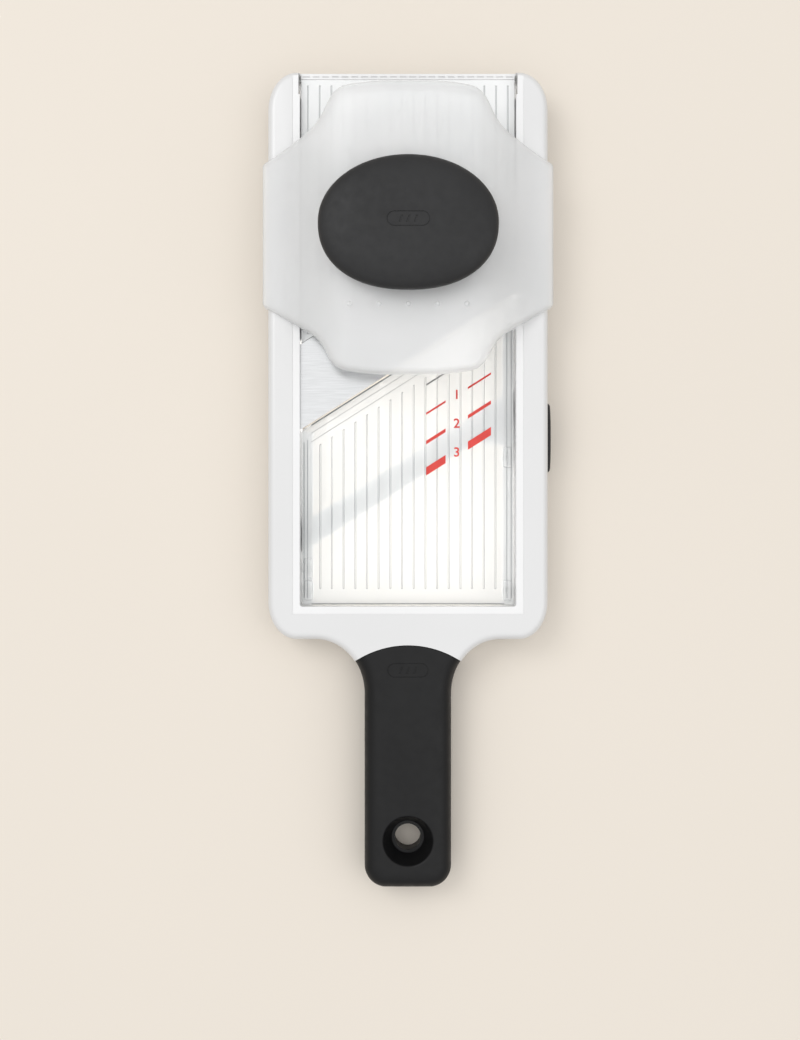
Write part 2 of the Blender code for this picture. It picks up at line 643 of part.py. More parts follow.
def make_thickness_knob():
    """Lens-shaped knob outside the rail, on a tongue that lies on the bar's stem."""
    middle_y = STEM_MIDDLE - KNOB_SHIFT
    middle_z = Z_TONGUE + TONGUE_THICK / 2
    face = HALF + GAP
    outline = ellipse_arc(0, 0, KNOB_LENGTH / 2, KNOB_HEIGHT / 2, 0, 345, 23)
    loops = []
    for shift, drop in edge_steps(KNOB_PROUD - GAP):
        x = face + KNOB_PROUD - drop
        loops.append([(x, middle_y + y, middle_z + z) for y, z in inset(outline, shift)])
    loops.insert(0, [(face, y, z) for _, y, z in loops[0]])
    knob = piece("thickness_knob", mesh_of("thickness_knob", loops), "black_tpe")
    add(knob, "tongue", box(INNER + WALL + GAP, face + OVER / 2, STEM_NEAR, STEM_NEAR + STEM_WIDTH,
                            Z_TONGUE, Z_TONGUE + TONGUE_THICK))
    hole = SMALL_SCREW[2] / 2 + HOLE_GAP
    ceiling = Z_TONGUE + TONGUE_THICK - THREAD_SKIN
    cut(knob, "knob_screw_hole", turned(rack_x(), STEM_MIDDLE, ((hole, Z_TONGUE - OVER), (hole, ceiling)), 12))
    screw = make_screw("knob_screw", rack_x(), STEM_MIDDLE, BAR_BOTTOM - GAP, ceiling - GAP, SMALL_SCREW)
    return knob, screw


def make_detent_spring():
    """Leaf spring on the tongue, with a bump that clicks into the rack."""
    half, flank, top = STEM_WIDTH / 2, 3 * MM, 1 * MM
    path = [(-half, 0), (-flank, 0), (-top, SPRING_BUMP), (top, SPRING_BUMP), (flank, 0), (half, 0)]
    lower = [(STEM_MIDDLE + y, Z_SPRING + z) for y, z in path]
    upper = [(y, z + SPRING_THICK) for y, z in reversed(lower)]
    x = rack_x()
    mesh = mesh_of("detent_spring", along_x(lower + upper, x - SPRING_WIDTH / 2, x + SPRING_WIDTH / 2))
    return piece("detent_spring", mesh, "steel")


# Food holder

def holder_outline():
    """Plan of the shell about its own middle, anticlockwise."""
    crown_y = CROWN[1]
    quarter = [(SKIRT_OUT, WING_HALF, 2 * MM), (*WAIST, 7 * MM), (*BODY_CORNER, 5 * MM),
               (CROWN[0], crown_y, 12 * MM)]
    upper = quarter + [(-x, y, r) for x, y, r in reversed(quarter)]
    lower = [(-x, -y, r) for x, y, r in upper]
    return rounded(upper + lower, 4)


def arch(x):
    """Height of the shell's top surface across the slicer."""
    share = min(1, max(0, (abs(x) - PLATEAU) / (SKIRT_OUT - PLATEAU)))
    return Z_PLATEAU - (Z_PLATEAU - Z_WING) * (1 - cos(pi * share)) / 2


def arch_stations():
    """X places of the arch's facets."""
    steps = 9
    right = [PLATEAU + (SKIRT_OUT - PLATEAU) * i / steps for i in range(steps)] + [SKIRT_OUT + OVER]
    return [-x for x in reversed(right)] + right


def under_arch(drop, floor, half_length):
    """Loops of everything under the arch lowered by a drop, down to a floor."""
    top = [(x, arch(x) - drop) for x in arch_stations()]
    edge = SKIRT_OUT + OVER
    return along_y([(edge, floor), (-edge, floor)] + top, -half_length, half_length)


def spike_places():
    """Spikes about the holder's middle."""
    places = []
    for row, count in enumerate(SPIKE_ROWS):
        y = SPIKE_PITCH_Y * (row - (len(SPIKE_ROWS) - 1) / 2)
        places += [(SPIKE_PITCH_X * (i - (count - 1) / 2), y) for i in range(count)]
    return places


def holder_screws():
    return [(a * SPIKE_PITCH_X, b * SPIKE_PITCH_Y) for a, b in HOLDER_SCREWS]


def make_shell():
    """Arched shell with a lip all round, skirts outside the rails and moulded spikes."""
    outline = holder_outline()
    reach = HOLDER_LENGTH / 2 + 2 * OVER
    floor = Z_RAIL - SKIRT_DROP
    shell = piece("holder_shell", mesh_of("holder_shell", prism(outline, floor, Z_PLATEAU + OVER)),
                  "frosted_pp")
    shape_with(shell, "INTERSECT", "arch_top", under_arch(0, floor - OVER, reach))
    inner = inset(outline, HOLDER_WALL)
    hollow = cut(shell, "shell_hollow", prism(inner, floor - OVER, Z_PLATEAU))
    shape_with(hollow, "INTERSECT", "hollow_arch", under_arch(HOLDER_WALL, floor - 2 * OVER, reach))
    stations = [x for x in arch_stations() if abs(x) < SKIRT_IN]
    lip = [(x, max(Z_RAIL + GAP, arch(x) - LIP)) for x in stations]
    lip = [(-SKIRT_IN, Z_RAIL + GAP)] + lip + [(SKIRT_IN, Z_RAIL + GAP)]
    base = [(SKIRT_IN, floor - OVER), (-SKIRT_IN, floor - OVER)]
    cut(shell, "lip_trim", along_y(base + lip, -reach, reach))
    tip = Z_RAIL + SPIKE_CLEAR
    add(shell, "spikes", *(turned(x, y, ((SPIKE_TIP / 2, tip), (SPIKE_ROOT / 2, arch(x) - HOLDER_WALL / 2)), 8)
                           for x, y in spike_places()))
    hole = LARGE_SCREW[2] / 2 + HOLE_GAP
    cut(shell, "shell_screw_holes", *(turned(x, y, ((hole, Z_PLATEAU - 2 * HOLDER_WALL), (hole, Z_PLATEAU + OVER)),
                                             12) for x, y in holder_screws()))
    return shell


def oval(shrink, z, sides=40):
    """Loop of the oval knob's plan, narrowed all round."""
    half_x, half_y = (OVAL_LENGTH - shrink) / 2, (OVAL_WIDTH - shrink) / 2
    return flat(ellipse_arc(0, 0, half_x, half_y, 0, 360 - 360 / sides, sides - 1), z)


def make_oval_knob():
    """Knob in two halves, the cap's spigot in the base's recess."""
    base_loops = [oval(OVAL_FOOT, Z_BASE), oval(OVAL_FOOT * 0.55, Z_BASE + BASE_HEIGHT * 0.25),
                  oval(OVAL_FOOT * 0.2, Z_BASE + BASE_HEIGHT * 0.6), oval(0.4 * MM, Z_RIM - GAP)]
    base = piece("knob_base", mesh_of("knob_base", base_loops), "black_tpe")
    recess = Z_RIM - GAP - SPIGOT_HEIGHT
    shrink = 2 * SPIGOT_INSET
    cut(base, "spigot_recess", [oval(shrink, recess), oval(shrink, Z_RIM + OVER)])
    hole = LARGE_SCREW[2] / 2 + HOLE_GAP
    ceiling = recess - THREAD_SKIN
    cut(base, "base_screw_holes", *(turned(x, y, ((hole, Z_BASE - OVER), (hole, ceiling)), 12)
                                    for x, y in holder_screws()))
    shares = [(1 - cos(a), sin(a)) for a in (pi / 2 * k / 6 for k in range(7))]
    cap_loops = [oval(0, Z_RIM)]
    for narrow, rise in shares[:-1]:
        cap_loops.append(oval(OVAL_WIDTH * 0.9 * narrow, Z_RIM + OVER + (CAP_HEIGHT - OVER) * rise))
    cap = piece("knob_cap", mesh_of("knob_cap", cap_loops), "black_tpe")
    add(cap, "spigot", [oval(shrink + 2 * GAP, recess + GAP), oval(shrink + 2 * GAP, Z_RIM + OVER)])
    under = Z_PLATEAU - HOLDER_WALL - GAP
    screws = [make_screw(f"holder_screw_{i}", x, y, under, ceiling - GAP, LARGE_SCREW)
              for i, (x, y) in enumerate(holder_screws(), 1)]
    return [base, cap, *screws]


def move_with_tools(bodies, place):
    """Move pieces, and the tools that shape them, to their place on the slicer."""
    tools = set()
    for body in bodies:
        waiting = [body]
        while waiting:
            for step in waiting.pop().modifiers:
                if step.type == "BOOLEAN" and step.object not in tools:
                    tools.add(step.object)
                    waiting.append(step.object)
    for item in [*bodies, *tools]:
        item.location = place


def main():
    for item in list(bpy.data.objects):
        bpy.data.objects.remove(item)
    make_frame()
    make_grip()
    make_feet()
    make_fixed_runway()
    make_blade()
    make_clamp()

    runway = make_adjustable_runway()
    axis_empty("runway_lift_axis", (0, 0, Z_RUNWAY), runway)

    bar = make_thickness_bar()
    knob, screw = make_thickness_knob()
    spring = make_detent_spring()
    axis_empty("thickness_slide_axis", (rack_x(), STEM_MIDDLE, BAR_BOTTOM), bar, knob, screw, spring)

    holder = [make_shell(), *make_oval_knob()]
    move_with_tools(holder, (0, HOLDER_Y, 0))
    for item in bpy.data.objects:
        if item.type == "MESH" and not item.hide_render:
            smooth(item)


main()
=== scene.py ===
# Mandoline slicer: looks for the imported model, in metres, one dictionary of sizes beside each piece
import json
import math

import bmesh
import bpy
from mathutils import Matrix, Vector

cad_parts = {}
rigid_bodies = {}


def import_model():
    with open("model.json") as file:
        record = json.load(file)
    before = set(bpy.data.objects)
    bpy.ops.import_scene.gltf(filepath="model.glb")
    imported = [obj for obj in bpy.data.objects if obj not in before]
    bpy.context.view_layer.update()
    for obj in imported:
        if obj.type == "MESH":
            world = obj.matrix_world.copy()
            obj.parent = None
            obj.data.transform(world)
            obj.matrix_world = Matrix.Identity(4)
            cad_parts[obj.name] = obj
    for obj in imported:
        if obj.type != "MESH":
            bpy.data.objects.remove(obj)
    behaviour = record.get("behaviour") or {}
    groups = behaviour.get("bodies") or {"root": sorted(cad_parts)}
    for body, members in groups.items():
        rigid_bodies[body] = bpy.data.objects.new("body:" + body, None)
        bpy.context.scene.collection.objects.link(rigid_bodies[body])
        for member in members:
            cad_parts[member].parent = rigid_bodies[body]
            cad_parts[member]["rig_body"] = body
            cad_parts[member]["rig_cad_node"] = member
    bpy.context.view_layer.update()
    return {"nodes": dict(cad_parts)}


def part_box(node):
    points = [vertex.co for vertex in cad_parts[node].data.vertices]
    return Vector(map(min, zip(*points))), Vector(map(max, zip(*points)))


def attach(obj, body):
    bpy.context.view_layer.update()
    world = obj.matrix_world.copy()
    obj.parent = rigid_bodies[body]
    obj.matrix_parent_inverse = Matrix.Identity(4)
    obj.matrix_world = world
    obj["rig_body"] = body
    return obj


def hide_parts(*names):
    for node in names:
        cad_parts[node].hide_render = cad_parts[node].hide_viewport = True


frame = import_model()
mm = 0.001
slope = 0.634  # how far the blade runs along Y for each step along X

# small tools


def clearSelection():
    if bpy.context.object and bpy.context.object.mode == "EDIT":
        bpy.ops.object.mode_set(mode="OBJECT")
    bpy.ops.object.select_all(action="DESELECT")


def makeActive(piece):
    clearSelection()
    piece.select_set(True)
    bpy.context.view_layer.objects.active = piece


def startEdit(piece):
    makeActive(piece)
    bpy.ops.object.mode_set(mode="EDIT")
    bpy.ops.mesh.select_all(action="DESELECT")


def endEdit():
    bpy.ops.object.mode_set(mode="OBJECT")


def pickFaces(piece, test):  # in edit mode, picks the faces whose centre and normal pass the test
    bpy.ops.mesh.select_mode(type="FACE")
    shape = bmesh.from_edit_mesh(piece.data)
    for face in shape.faces:
        face.select_set(test(face.calc_center_median(), face.normal))
    bmesh.update_edit_mesh(piece.data)


def pickEdges(piece, test):
    bpy.ops.mesh.select_mode(type="EDGE")
    shape = bmesh.from_edit_mesh(piece.data)
    for edge in shape.edges:
        edge.select_set(test(edge.verts[0].co, edge.verts[1].co))
    bmesh.update_edit_mesh(piece.data)


def pickPoints(piece, test):
    bpy.ops.mesh.select_mode(type="VERT")
    shape = bmesh.from_edit_mesh(piece.data)
    for point in shape.verts:
        point.select_set(test(point.co))
    shape.select_flush(True)
    bmesh.update_edit_mesh(piece.data)


def addBlock(name, low, high):  # box between two corners, its place in its mesh
    clearSelection()
    middle = [(a + b) / 2 for a, b in zip(low, high)]
    bpy.ops.mesh.primitive_cube_add(size=1, location=middle)
    block = bpy.context.object
    block.name = name
    block.scale = [b - a for a, b in zip(low, high)]
    bpy.ops.object.transform_apply(location=True, rotation=True, scale=True)
    return block


def applyModifier(piece, kind, settings):
    makeActive(piece)
    step = piece.modifiers.new(kind, kind)
    for name, value in settings.items():
        setattr(step, name, value)
    bpy.ops.object.modifier_apply(modifier=step.name)


def joinWith(piece, tool, operation):  # boolean step, after which the tool is gone
    applyModifier(piece, "BOOLEAN", {"object": tool, "operation": operation, "solver": "EXACT"})
    bpy.data.objects.remove(tool)


def joinedPieces(pieces, name):
    clearSelection()
    for piece in pieces:
        piece.select_set(True)
    bpy.context.view_layer.objects.active = pieces[0]
    bpy.ops.object.join()
    pieces[0].name = name
    return pieces[0]


def smoothByAngle(piece, degrees=35):
    makeActive(piece)
    bpy.ops.object.shade_smooth_by_angle(angle=math.radians(degrees))


def place(piece, body, nodes=()):  # rides on a body and stands for its CAD nodes
    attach(piece, body)
    if nodes:
        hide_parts(*nodes)


# materials


def hexColour(code, alpha=1.0):  # sRGB hex to linear
    def toLinear(part):
        value = int(part, 16) / 255
        return value / 12.92 if value <= 0.04045 else ((value + 0.055) / 1.055) ** 2.4
    return (toLinear(code[1:3]), toLinear(code[3:5]), toLinear(code[5:7]), alpha)


def addNode(tree, kind, settings, links):  # one node, its values by socket or property, its links by socket
    node = tree.nodes.new(kind)
    for name, value in settings.items():
        if hasattr(node, name):
            setattr(node, name, value)
        else:
            node.inputs[name].default_value = value
    for name, source in links.items():
        tree.links.new(source, node.inputs[name])
    return node


def newMaterial(name, values):
    material = bpy.data.materials.new(name)
    material.use_nodes = True
    shader = material.node_tree.nodes["Principled BSDF"]
    for socket, value in values.items():
        shader.inputs[socket].default_value = value
    return material, material.node_tree, shader


def mouldedLook(name, values, look):
    # noise in Object coordinates drives colour drift, roughness drift and the moulded grain
    material, tree, shader = newMaterial(name, values)
    place3d = addNode(tree, "ShaderNodeTexCoord", {}, {}).outputs["Object"]
    drift = addNode(tree, "ShaderNodeTexNoise", {"Scale": 1 / look["driftSize"], "Detail": 3.0},
                    {"Vector": place3d})
    ramp = addNode(tree, "ShaderNodeValToRGB", {}, {"Fac": drift.outputs["Fac"]})
    ramp.color_ramp.elements[0].position, ramp.color_ramp.elements[1].position = 0.3, 0.7
    ramp.color_ramp.elements[0].color = hexColour(look["dark"])
    ramp.color_ramp.elements[1].color = hexColour(look["light"])
    tree.links.new(ramp.outputs["Color"], shader.inputs["Base Color"])
    patches = addNode(tree, "ShaderNodeTexNoise", {"Scale": 1 / look["patchSize"], "Detail": 5.0},
                      {"Vector": place3d})
    rough = addNode(tree, "ShaderNodeMapRange",
                    {"From Min": 0.3, "From Max": 0.7, "To Min": look["smoothest"],
                     "To Max": look["roughest"]},
                    {"Value": patches.outputs["Fac"]})
    tree.links.new(rough.outputs["Result"], shader.inputs["Roughness"])
    grain = addNode(tree, "ShaderNodeTexNoise", {"Scale": 1 / look["grainSize"], "Detail": 2.0},
                    {"Vector": place3d})
    bump = addNode(tree, "ShaderNodeBump",
                   {"Strength": look["grainStrength"], "Distance": look["grainDepth"]},
                   {"Height": grain.outputs["Fac"]})
    tree.links.new(bump.outputs["Normal"], shader.inputs["Normal"])
    return material


def metalLook(name, values, look):
    # fine lines along one direction, from a stretched noise
    material, tree, shader = newMaterial(name, values)
    place3d = addNode(tree, "ShaderNodeTexCoord", {}, {}).outputs["Object"]
    turned = addNode(tree, "ShaderNodeMapping", {"Rotation": (0, 0, look["turn"]), "Scale": look["stretch"]},
                     {"Vector": place3d})
    lines = addNode(tree, "ShaderNodeTexNoise", {"Scale": 1 / look["lineWidth"], "Detail": 2.0},
                    {"Vector": turned.outputs["Vector"]})
    rough = addNode(tree, "ShaderNodeMapRange",
                    {"From Min": 0.3, "From Max": 0.7, "To Min": look["smoothest"],
                     "To Max": look["roughest"]}, {"Value": lines.outputs["Fac"]})
    tree.links.new(rough.outputs["Result"], shader.inputs["Roughness"])
    ramp = addNode(tree, "ShaderNodeValToRGB", {}, {"Fac": lines.outputs["Fac"]})
    ramp.color_ramp.elements[0].color = hexColour(look["dark"])
    ramp.color_ramp.elements[1].color = hexColour(look["light"])
    tree.links.new(ramp.outputs["Color"], shader.inputs["Base Color"])
    bump = addNode(tree, "ShaderNodeBump", {"Strength": look["lineStrength"], "Distance": 0.02 * mm},
                   {"Height": lines.outputs["Fac"]})
    tree.links.new(bump.outputs["Normal"], shader.inputs["Normal"])
    return material


# ABS, injection moulded and polished: a clean white with a soft broad shine
whiteAbs = mouldedLook("whiteGlossAbs", {"IOR": 1.54, "Coat Weight": 0.25, "Coat Roughness": 0.12}, {
    "dark": "#DCDCDC", "light": "#DFDFDF", "driftSize": 60 * mm, "patchSize": 30 * mm,
    "smoothest": 0.28, "roughest": 0.33, "grainSize": 0.9 * mm, "grainStrength": 0.04,
    "grainDepth": 0.02 * mm})

# the same ABS, lighter and glossier: the lighter colour is a painted highlight on the lowered strips beside the
# window and on the far bar
highlightAbs = mouldedLook("polishedWhiteAbs", {"IOR": 1.54, "Coat Weight": 0.3, "Coat Roughness": 0.08}, {
    "dark": "#E9E9E9", "light": "#EDEDED", "driftSize": 60 * mm, "patchSize": 9 * mm,
    "smoothest": 0.15, "roughest": 0.22, "grainSize": 0.9 * mm, "grainStrength": 0.05,
    "grainDepth": 0.02 * mm})

# thermoplastic elastomer from a spark-eroded mould: near black, dry, with a fine leathery grain
softTpe = mouldedLook("blackSoftTpe", {"IOR": 1.5, "Specular IOR Level": 0.4, "Sheen Weight": 0.06,
                                       "Sheen Roughness": 0.5}, {
    "dark": "#1B1B1C", "light": "#222223", "driftSize": 30 * mm, "patchSize": 4 * mm,
    "smoothest": 0.5, "roughest": 0.62, "grainSize": 0.45 * mm, "grainStrength": 0.35,
    "grainDepth": 0.05 * mm})

# the knob's elastomer painted darker, with a lower specular level, for the handle grip: painted shade
shadedGripTpe = mouldedLook("blackGripTpe", {"IOR": 1.5, "Specular IOR Level": 0.3}, {
    "dark": "#0B0B0C", "light": "#101011", "driftSize": 30 * mm, "patchSize": 4 * mm,
    "smoothest": 0.42, "roughest": 0.55, "grainSize": 0.5 * mm, "grainStrength": 0.35,
    "grainDepth": 0.05 * mm})

footTpe = mouldedLook("greyFootTpe", {"IOR": 1.5}, {
    "dark": "#2A2A2B", "light": "#353536", "driftSize": 8 * mm, "patchSize": 2 * mm,
    "smoothest": 0.6, "roughest": 0.75, "grainSize": 0.5 * mm, "grainStrength": 0.3, "grainDepth": 0.05 * mm})

# SAN, clear and hard: shows what lies under it, with a glassy top
clearSan = mouldedLook("clearPolishedSan", {"IOR": 1.57, "Alpha": 0.48, "Coat Weight": 0.3,
                                            "Coat Roughness": 0.05}, {
    "dark": "#F3F5F5", "light": "#F9FAFA", "driftSize": 50 * mm, "patchSize": 12 * mm,
    "smoothest": 0.08, "roughest": 0.16, "grainSize": 1.5 * mm, "grainStrength": 0.05,
    "grainDepth": 0.02 * mm})

# the same plastic painted grey on its groove and cut faces: painted shade in the grooves and steps
clearSanEdge = mouldedLook("clearSanEdge", {"IOR": 1.57, "Alpha": 0.92}, {
    "dark": "#96999A", "light": "#A5A8A8", "driftSize": 50 * mm, "patchSize": 12 * mm,
    "smoothest": 0.1, "roughest": 0.2, "grainSize": 1.5 * mm, "grainStrength": 0.05, "grainDepth": 0.02 * mm})

# the same plastic for the far plate, lighter and more opaque so the shade on the ledges under it hardly shows:
# painted light; its groove faces take a paler painted groove shade
farSanPaintedLight = mouldedLook("thickClearSan", {"IOR": 1.57, "Alpha": 0.86, "Coat Weight": 0.3,
                                         "Coat Roughness": 0.05}, {
    "dark": "#F6F7F7", "light": "#FAFBFB", "driftSize": 50 * mm, "patchSize": 12 * mm,
    "smoothest": 0.08, "roughest": 0.16, "grainSize": 1.5 * mm, "grainStrength": 0.05,
    "grainDepth": 0.02 * mm})
farSanGrooveShade = mouldedLook("thickClearSanEdge", {"IOR": 1.57, "Alpha": 0.92}, {
    "dark": "#D6D8D8", "light": "#DEE0E0", "driftSize": 50 * mm, "patchSize": 12 * mm,
    "smoothest": 0.1, "roughest": 0.2, "grainSize": 1.5 * mm, "grainStrength": 0.05, "grainDepth": 0.02 * mm})

# the same plastic painted darkest on the end faces of the panel: painted shadow in the gaps at its near and
# front ends
clearSanGapShadow = mouldedLook("clearSanDeepEdge", {"IOR": 1.57, "Alpha": 0.95}, {
    "dark": "#6E7272", "light": "#7C8080", "driftSize": 50 * mm, "patchSize": 12 * mm,
    "smoothest": 0.1, "roughest": 0.2, "grainSize": 1.5 * mm, "grainStrength": 0.05, "grainDepth": 0.02 * mm})

# polypropylene, moulded with a satin face: milky, lets a little through
frostedPp = mouldedLook("frostedPolypropylene", {"IOR": 1.49, "Alpha": 0.6, "Transmission Weight": 0.2}, {
    "dark": "#F2F3F3", "light": "#F7F7F7", "driftSize": 40 * mm, "patchSize": 8 * mm,
    "smoothest": 0.36, "roughest": 0.46, "grainSize": 0.6 * mm, "grainStrength": 0.15,
    "grainDepth": 0.03 * mm})

# acetal slider: smooth, slightly waxy light grey
greyAcetal = mouldedLook("greyAcetal", {"IOR": 1.48}, {
    "dark": "#EEEEEE", "light": "#F3F3F3", "driftSize": 20 * mm, "patchSize": 5 * mm,
    "smoothest": 0.3, "roughest": 0.4, "grainSize": 0.8 * mm, "grainStrength": 0.1, "grainDepth": 0.02 * mm})

# pad-printed ink, flat and even
redInk = mouldedLook("redPrintInk", {"IOR": 1.5}, {
    "dark": "#D23A33", "light": "#DE443B", "driftSize": 6 * mm, "patchSize": 1 * mm,
    "smoothest": 0.35, "roughest": 0.45, "grainSize": 0.3 * mm, "grainStrength": 0.1,
    "grainDepth": 0.01 * mm})
greyInk = mouldedLook("greyPrintInk", {"IOR": 1.5}, {
    "dark": "#7C7C7C", "light": "#8A8A8A", "driftSize": 6 * mm, "patchSize": 1 * mm,
    "smoothest": 0.35, "roughest": 0.45, "grainSize": 0.3 * mm, "grainStrength": 0.1,
    "grainDepth": 0.01 * mm})

# martensitic stainless, ground then buffed: bright, with faint lines along the edge
bladeTurn = math.atan(slope)
bladeSteel = metalLook("buffedStainless", {"Metallic": 1.0}, {
    "dark": "#C9CACB", "light": "#DEDFE0", "turn": -bladeTurn, "stretch": (0.04, 1, 1),
    "lineWidth": 0.35 * mm,
    "smoothest": 0.16, "roughest": 0.24, "lineStrength": 0.15})
clampSteel = metalLook("brushedStainless", {"Metallic": 1.0}, {
    "dark": "#A9AAAB", "light": "#C2C3C4", "turn": -bladeTurn, "stretch": (0.04, 1, 1), "lineWidth": 0.3 * mm,
    "smoothest": 0.28, "roughest": 0.4, "lineStrength": 0.3})
zincSteel = metalLook("zincPlatedSteel", {"Metallic": 1.0}, {
    "dark": "#9FA1A4", "light": "#BDBFC2", "turn": 0.0, "stretch": (1, 1, 1), "lineWidth": 0.4 * mm,
    "smoothest": 0.25, "roughest": 0.4, "lineStrength": 0.2})
springSteel = metalLook("temperedSpringSteel", {"Metallic": 1.0}, {
    "dark": "#8E8F92", "light": "#AEB0B3", "turn": 0.0, "stretch": (0.05, 1, 1), "lineWidth": 0.3 * mm,
    "smoothest": 0.25, "roughest": 0.35, "lineStrength": 0.2})
print("materials made")

# camera, light and floor

view = {"over": (-3.6 * mm, -17.7 * mm), "height": 620 * mm, "lens": 45.8}  # looks straight down on the tool
clearSelection()
bpy.ops.object.camera_add(location=(*view["over"], view["height"]))
camera = bpy.context.object
camera.data.lens = view["lens"]
camera.data.sensor_width = 36
bpy.context.scene.camera = camera
bpy.context.scene.view_settings.view_transform = "Standard"

floorLook = mouldedLook("matteFloorPaint", {"Specular IOR Level": 0.1}, {
    "dark": "#E3DBD0", "light": "#E5DDD2", "driftSize": 400 * mm, "patchSize": 100 * mm,
    "smoothest": 0.85, "roughest": 0.95, "grainSize": 3 * mm, "grainStrength": 0.02, "grainDepth": 0.05 * mm})
clearSelection()
bpy.ops.mesh.primitive_plane_add(size=8, location=(0, 0, -0.2 * mm))
floor = bpy.context.object
floor.name = "floor"
floor.data.materials.append(floorLook)

lights = {  # place, aim, width, depth, watts
    "keyLight": ((-0.9, 0.7, 1.5), (0, 0, 0), 0.9, 0.9, 7),
    "fillLight": ((1.1, -0.2, 1.2), (0, 0, 0), 1.2, 1.2, 2),
    "lightTable": ((0, 0.063, 0.0004), (0, 0.063, 1), 0.096, 0.236, 0.12)}
for name, (spot, target, width, depth, watts) in lights.items():
    clearSelection()
    bpy.ops.object.light_add(type="AREA", location=spot)
    lamp = bpy.context.object
    lamp.name = name
    lamp.data.shape = "RECTANGLE"
    lamp.data.size, lamp.data.size_y = width, depth
    lamp.data.energy = watts
    lamp.rotation_euler = (Vector(spot) - Vector(target)).to_track_quat("Z", "Y").to_euler()
world = bpy.data.worlds.new("studio")
bpy.context.scene.world = world
world.use_nodes = True
sky = world.node_tree
ray = addNode(sky, "ShaderNodeTexCoord", {}, {}).outputs["Generated"]
height = addNode(sky, "ShaderNodeSeparateXYZ", {}, {"Vector": ray}).outputs["Z"]
glow = addNode(sky, "ShaderNodeMapRange", {"From Min": 0.1, "From Max": 0.9, "To Min": 0.25, "To Max": 1.2},
               {"Value": height})
background = sky.nodes["Background"]
background.inputs["Color"].default_value = hexColour("#FFFFFF")
sky.links.new(glow.outputs["Result"], background.inputs["Strength"])
print("camera and light set")

# pieces that keep their CAD shape, with their seams merged and their round faces smooth


def smoothCopy(node, body, material, degrees=35):
    clearSelection()
    source = frame["nodes"][node]
    piece = source.copy()
    piece.data = source.data.copy()
    piece.name = node + "_skin"
    bpy.context.scene.collection.objects.link(piece)
    piece.parent = None
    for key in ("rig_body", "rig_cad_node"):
        if key in piece:
            del piece[key]
    startEdit(piece)
    bpy.ops.mesh.select_all(action="SELECT")
    bpy.ops.mesh.remove_doubles(threshold=0.00001)
    endEdit()
    smoothByAngle(piece, degrees)
    piece.data.materials.clear()
    piece.data.materials.append(material)
    place(piece, body, [node])
    return piece


smoothCopy("thickness_knob", "thickness_slide", softTpe)
keptLooks = {"blade": bladeSteel, "blade_clamp": clampSteel, "thickness_bar": greyAcetal,
             "detent_spring": springSteel, "foot": footTpe, "screw": zincSteel}
for node, body in frame["nodes"].items():
    for word, material in keptLooks.items():
        if word in node and (word in ("screw", "foot") or word == node):
            body.data.materials.clear()
            body.data.materials.append(material)

# ridged runways

def cutAlong(piece, point, normal):
    bpy.ops.mesh.select_all(action="SELECT")
    bpy.ops.mesh.bisect(plane_co=point, plane_no=normal)


def ridgedPlate(name, outline, ridges):
    # a block whose near and far edges may run slantwise, with narrow grooves along Y
    plate = addBlock(name, (-outline["side"], outline["nearLeft"], outline["bottom"]),
                     (outline["side"], outline["farLeft"], outline["top"]))
    startEdit(plate)
    middle = (outline["nearLeft"] + outline["farLeft"]) / 2
    pickPoints(plate, lambda p: p.x > 0 and p.y > middle)
    bpy.ops.transform.translate(value=(0, outline["farRight"] - outline["farLeft"], 0))
    pickPoints(plate, lambda p: p.x > 0 and p.y <= middle)
    bpy.ops.transform.translate(value=(0, outline["nearRight"] - outline["nearLeft"], 0))
    cutAlong(plate, (0, ridges["near"], 0), (-ridges["nearSlope"], 1, 0))
    cutAlong(plate, (0, ridges["far"], 0), (-ridges["farSlope"], 1, 0))
    half = ridges["width"] / 2
    for x in ridges["places"]:
        for edge in (x - half, x + half):
            cutAlong(plate, (edge, 0, 0), (1, 0, 0))

    def onRidge(centre, normal):
        inLine = any(abs(centre.x - x) < half for x in ridges["places"])
        past = centre.y - ridges["nearSlope"] * centre.x > ridges["near"]
        before = centre.y - ridges["farSlope"] * centre.x < ridges["far"]
        return normal.z > 0.9 and inLine and past and before

    pickFaces(plate, onRidge)
    bpy.ops.mesh.inset(thickness=ridges["width"] * 0.22, depth=-ridges["depth"], use_individual=True)
    endEdit()
    # slots: clear plastic, painted groove shade, painted gap shadow
    plate.data.materials.append(clearSan)
    plate.data.materials.append(clearSanEdge)
    plate.data.materials.append(clearSanGapShadow)
    return plate


bladeLow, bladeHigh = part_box("blade")
bladeReach = bladeHigh.x
bladeEdge = bladeLow.y + slope * bladeReach  # Y of the cutting edge at X = 0
bladeBack = bladeHigh.y - slope * bladeReach

runwayLow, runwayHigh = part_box("adjustable_runway")
runway = {"pitch": 5.35 * mm, "count": 16, "width": 0.8 * mm, "depth": 0.5 * mm, "thick": 3 * mm,
          "nearMargin": 7.2 * mm, "frontMargin": 11.7 * mm, "lip": 0.5 * mm}
front = runwayHigh.y - slope * runwayHigh.x + runway["lip"]
ridgePlaces = [runway["pitch"] * (i - (runway["count"] - 1) / 2) for i in range(runway["count"])]
runwayPlate = ridgedPlate("ridged_runway", {
    "side": runwayHigh.x, "bottom": runwayHigh.z - runway["thick"], "top": runwayHigh.z,
    "nearLeft": runwayLow.y, "nearRight": runwayLow.y,
    "farLeft": front - slope * runwayHigh.x, "farRight": front + slope * runwayHigh.x}, {
    "near": runwayLow.y + runway["nearMargin"], "nearSlope": 0.0,
    "far": front - runway["frontMargin"], "farSlope": slope,
    "places": ridgePlaces, "width": runway["width"], "depth": runway["depth"]})

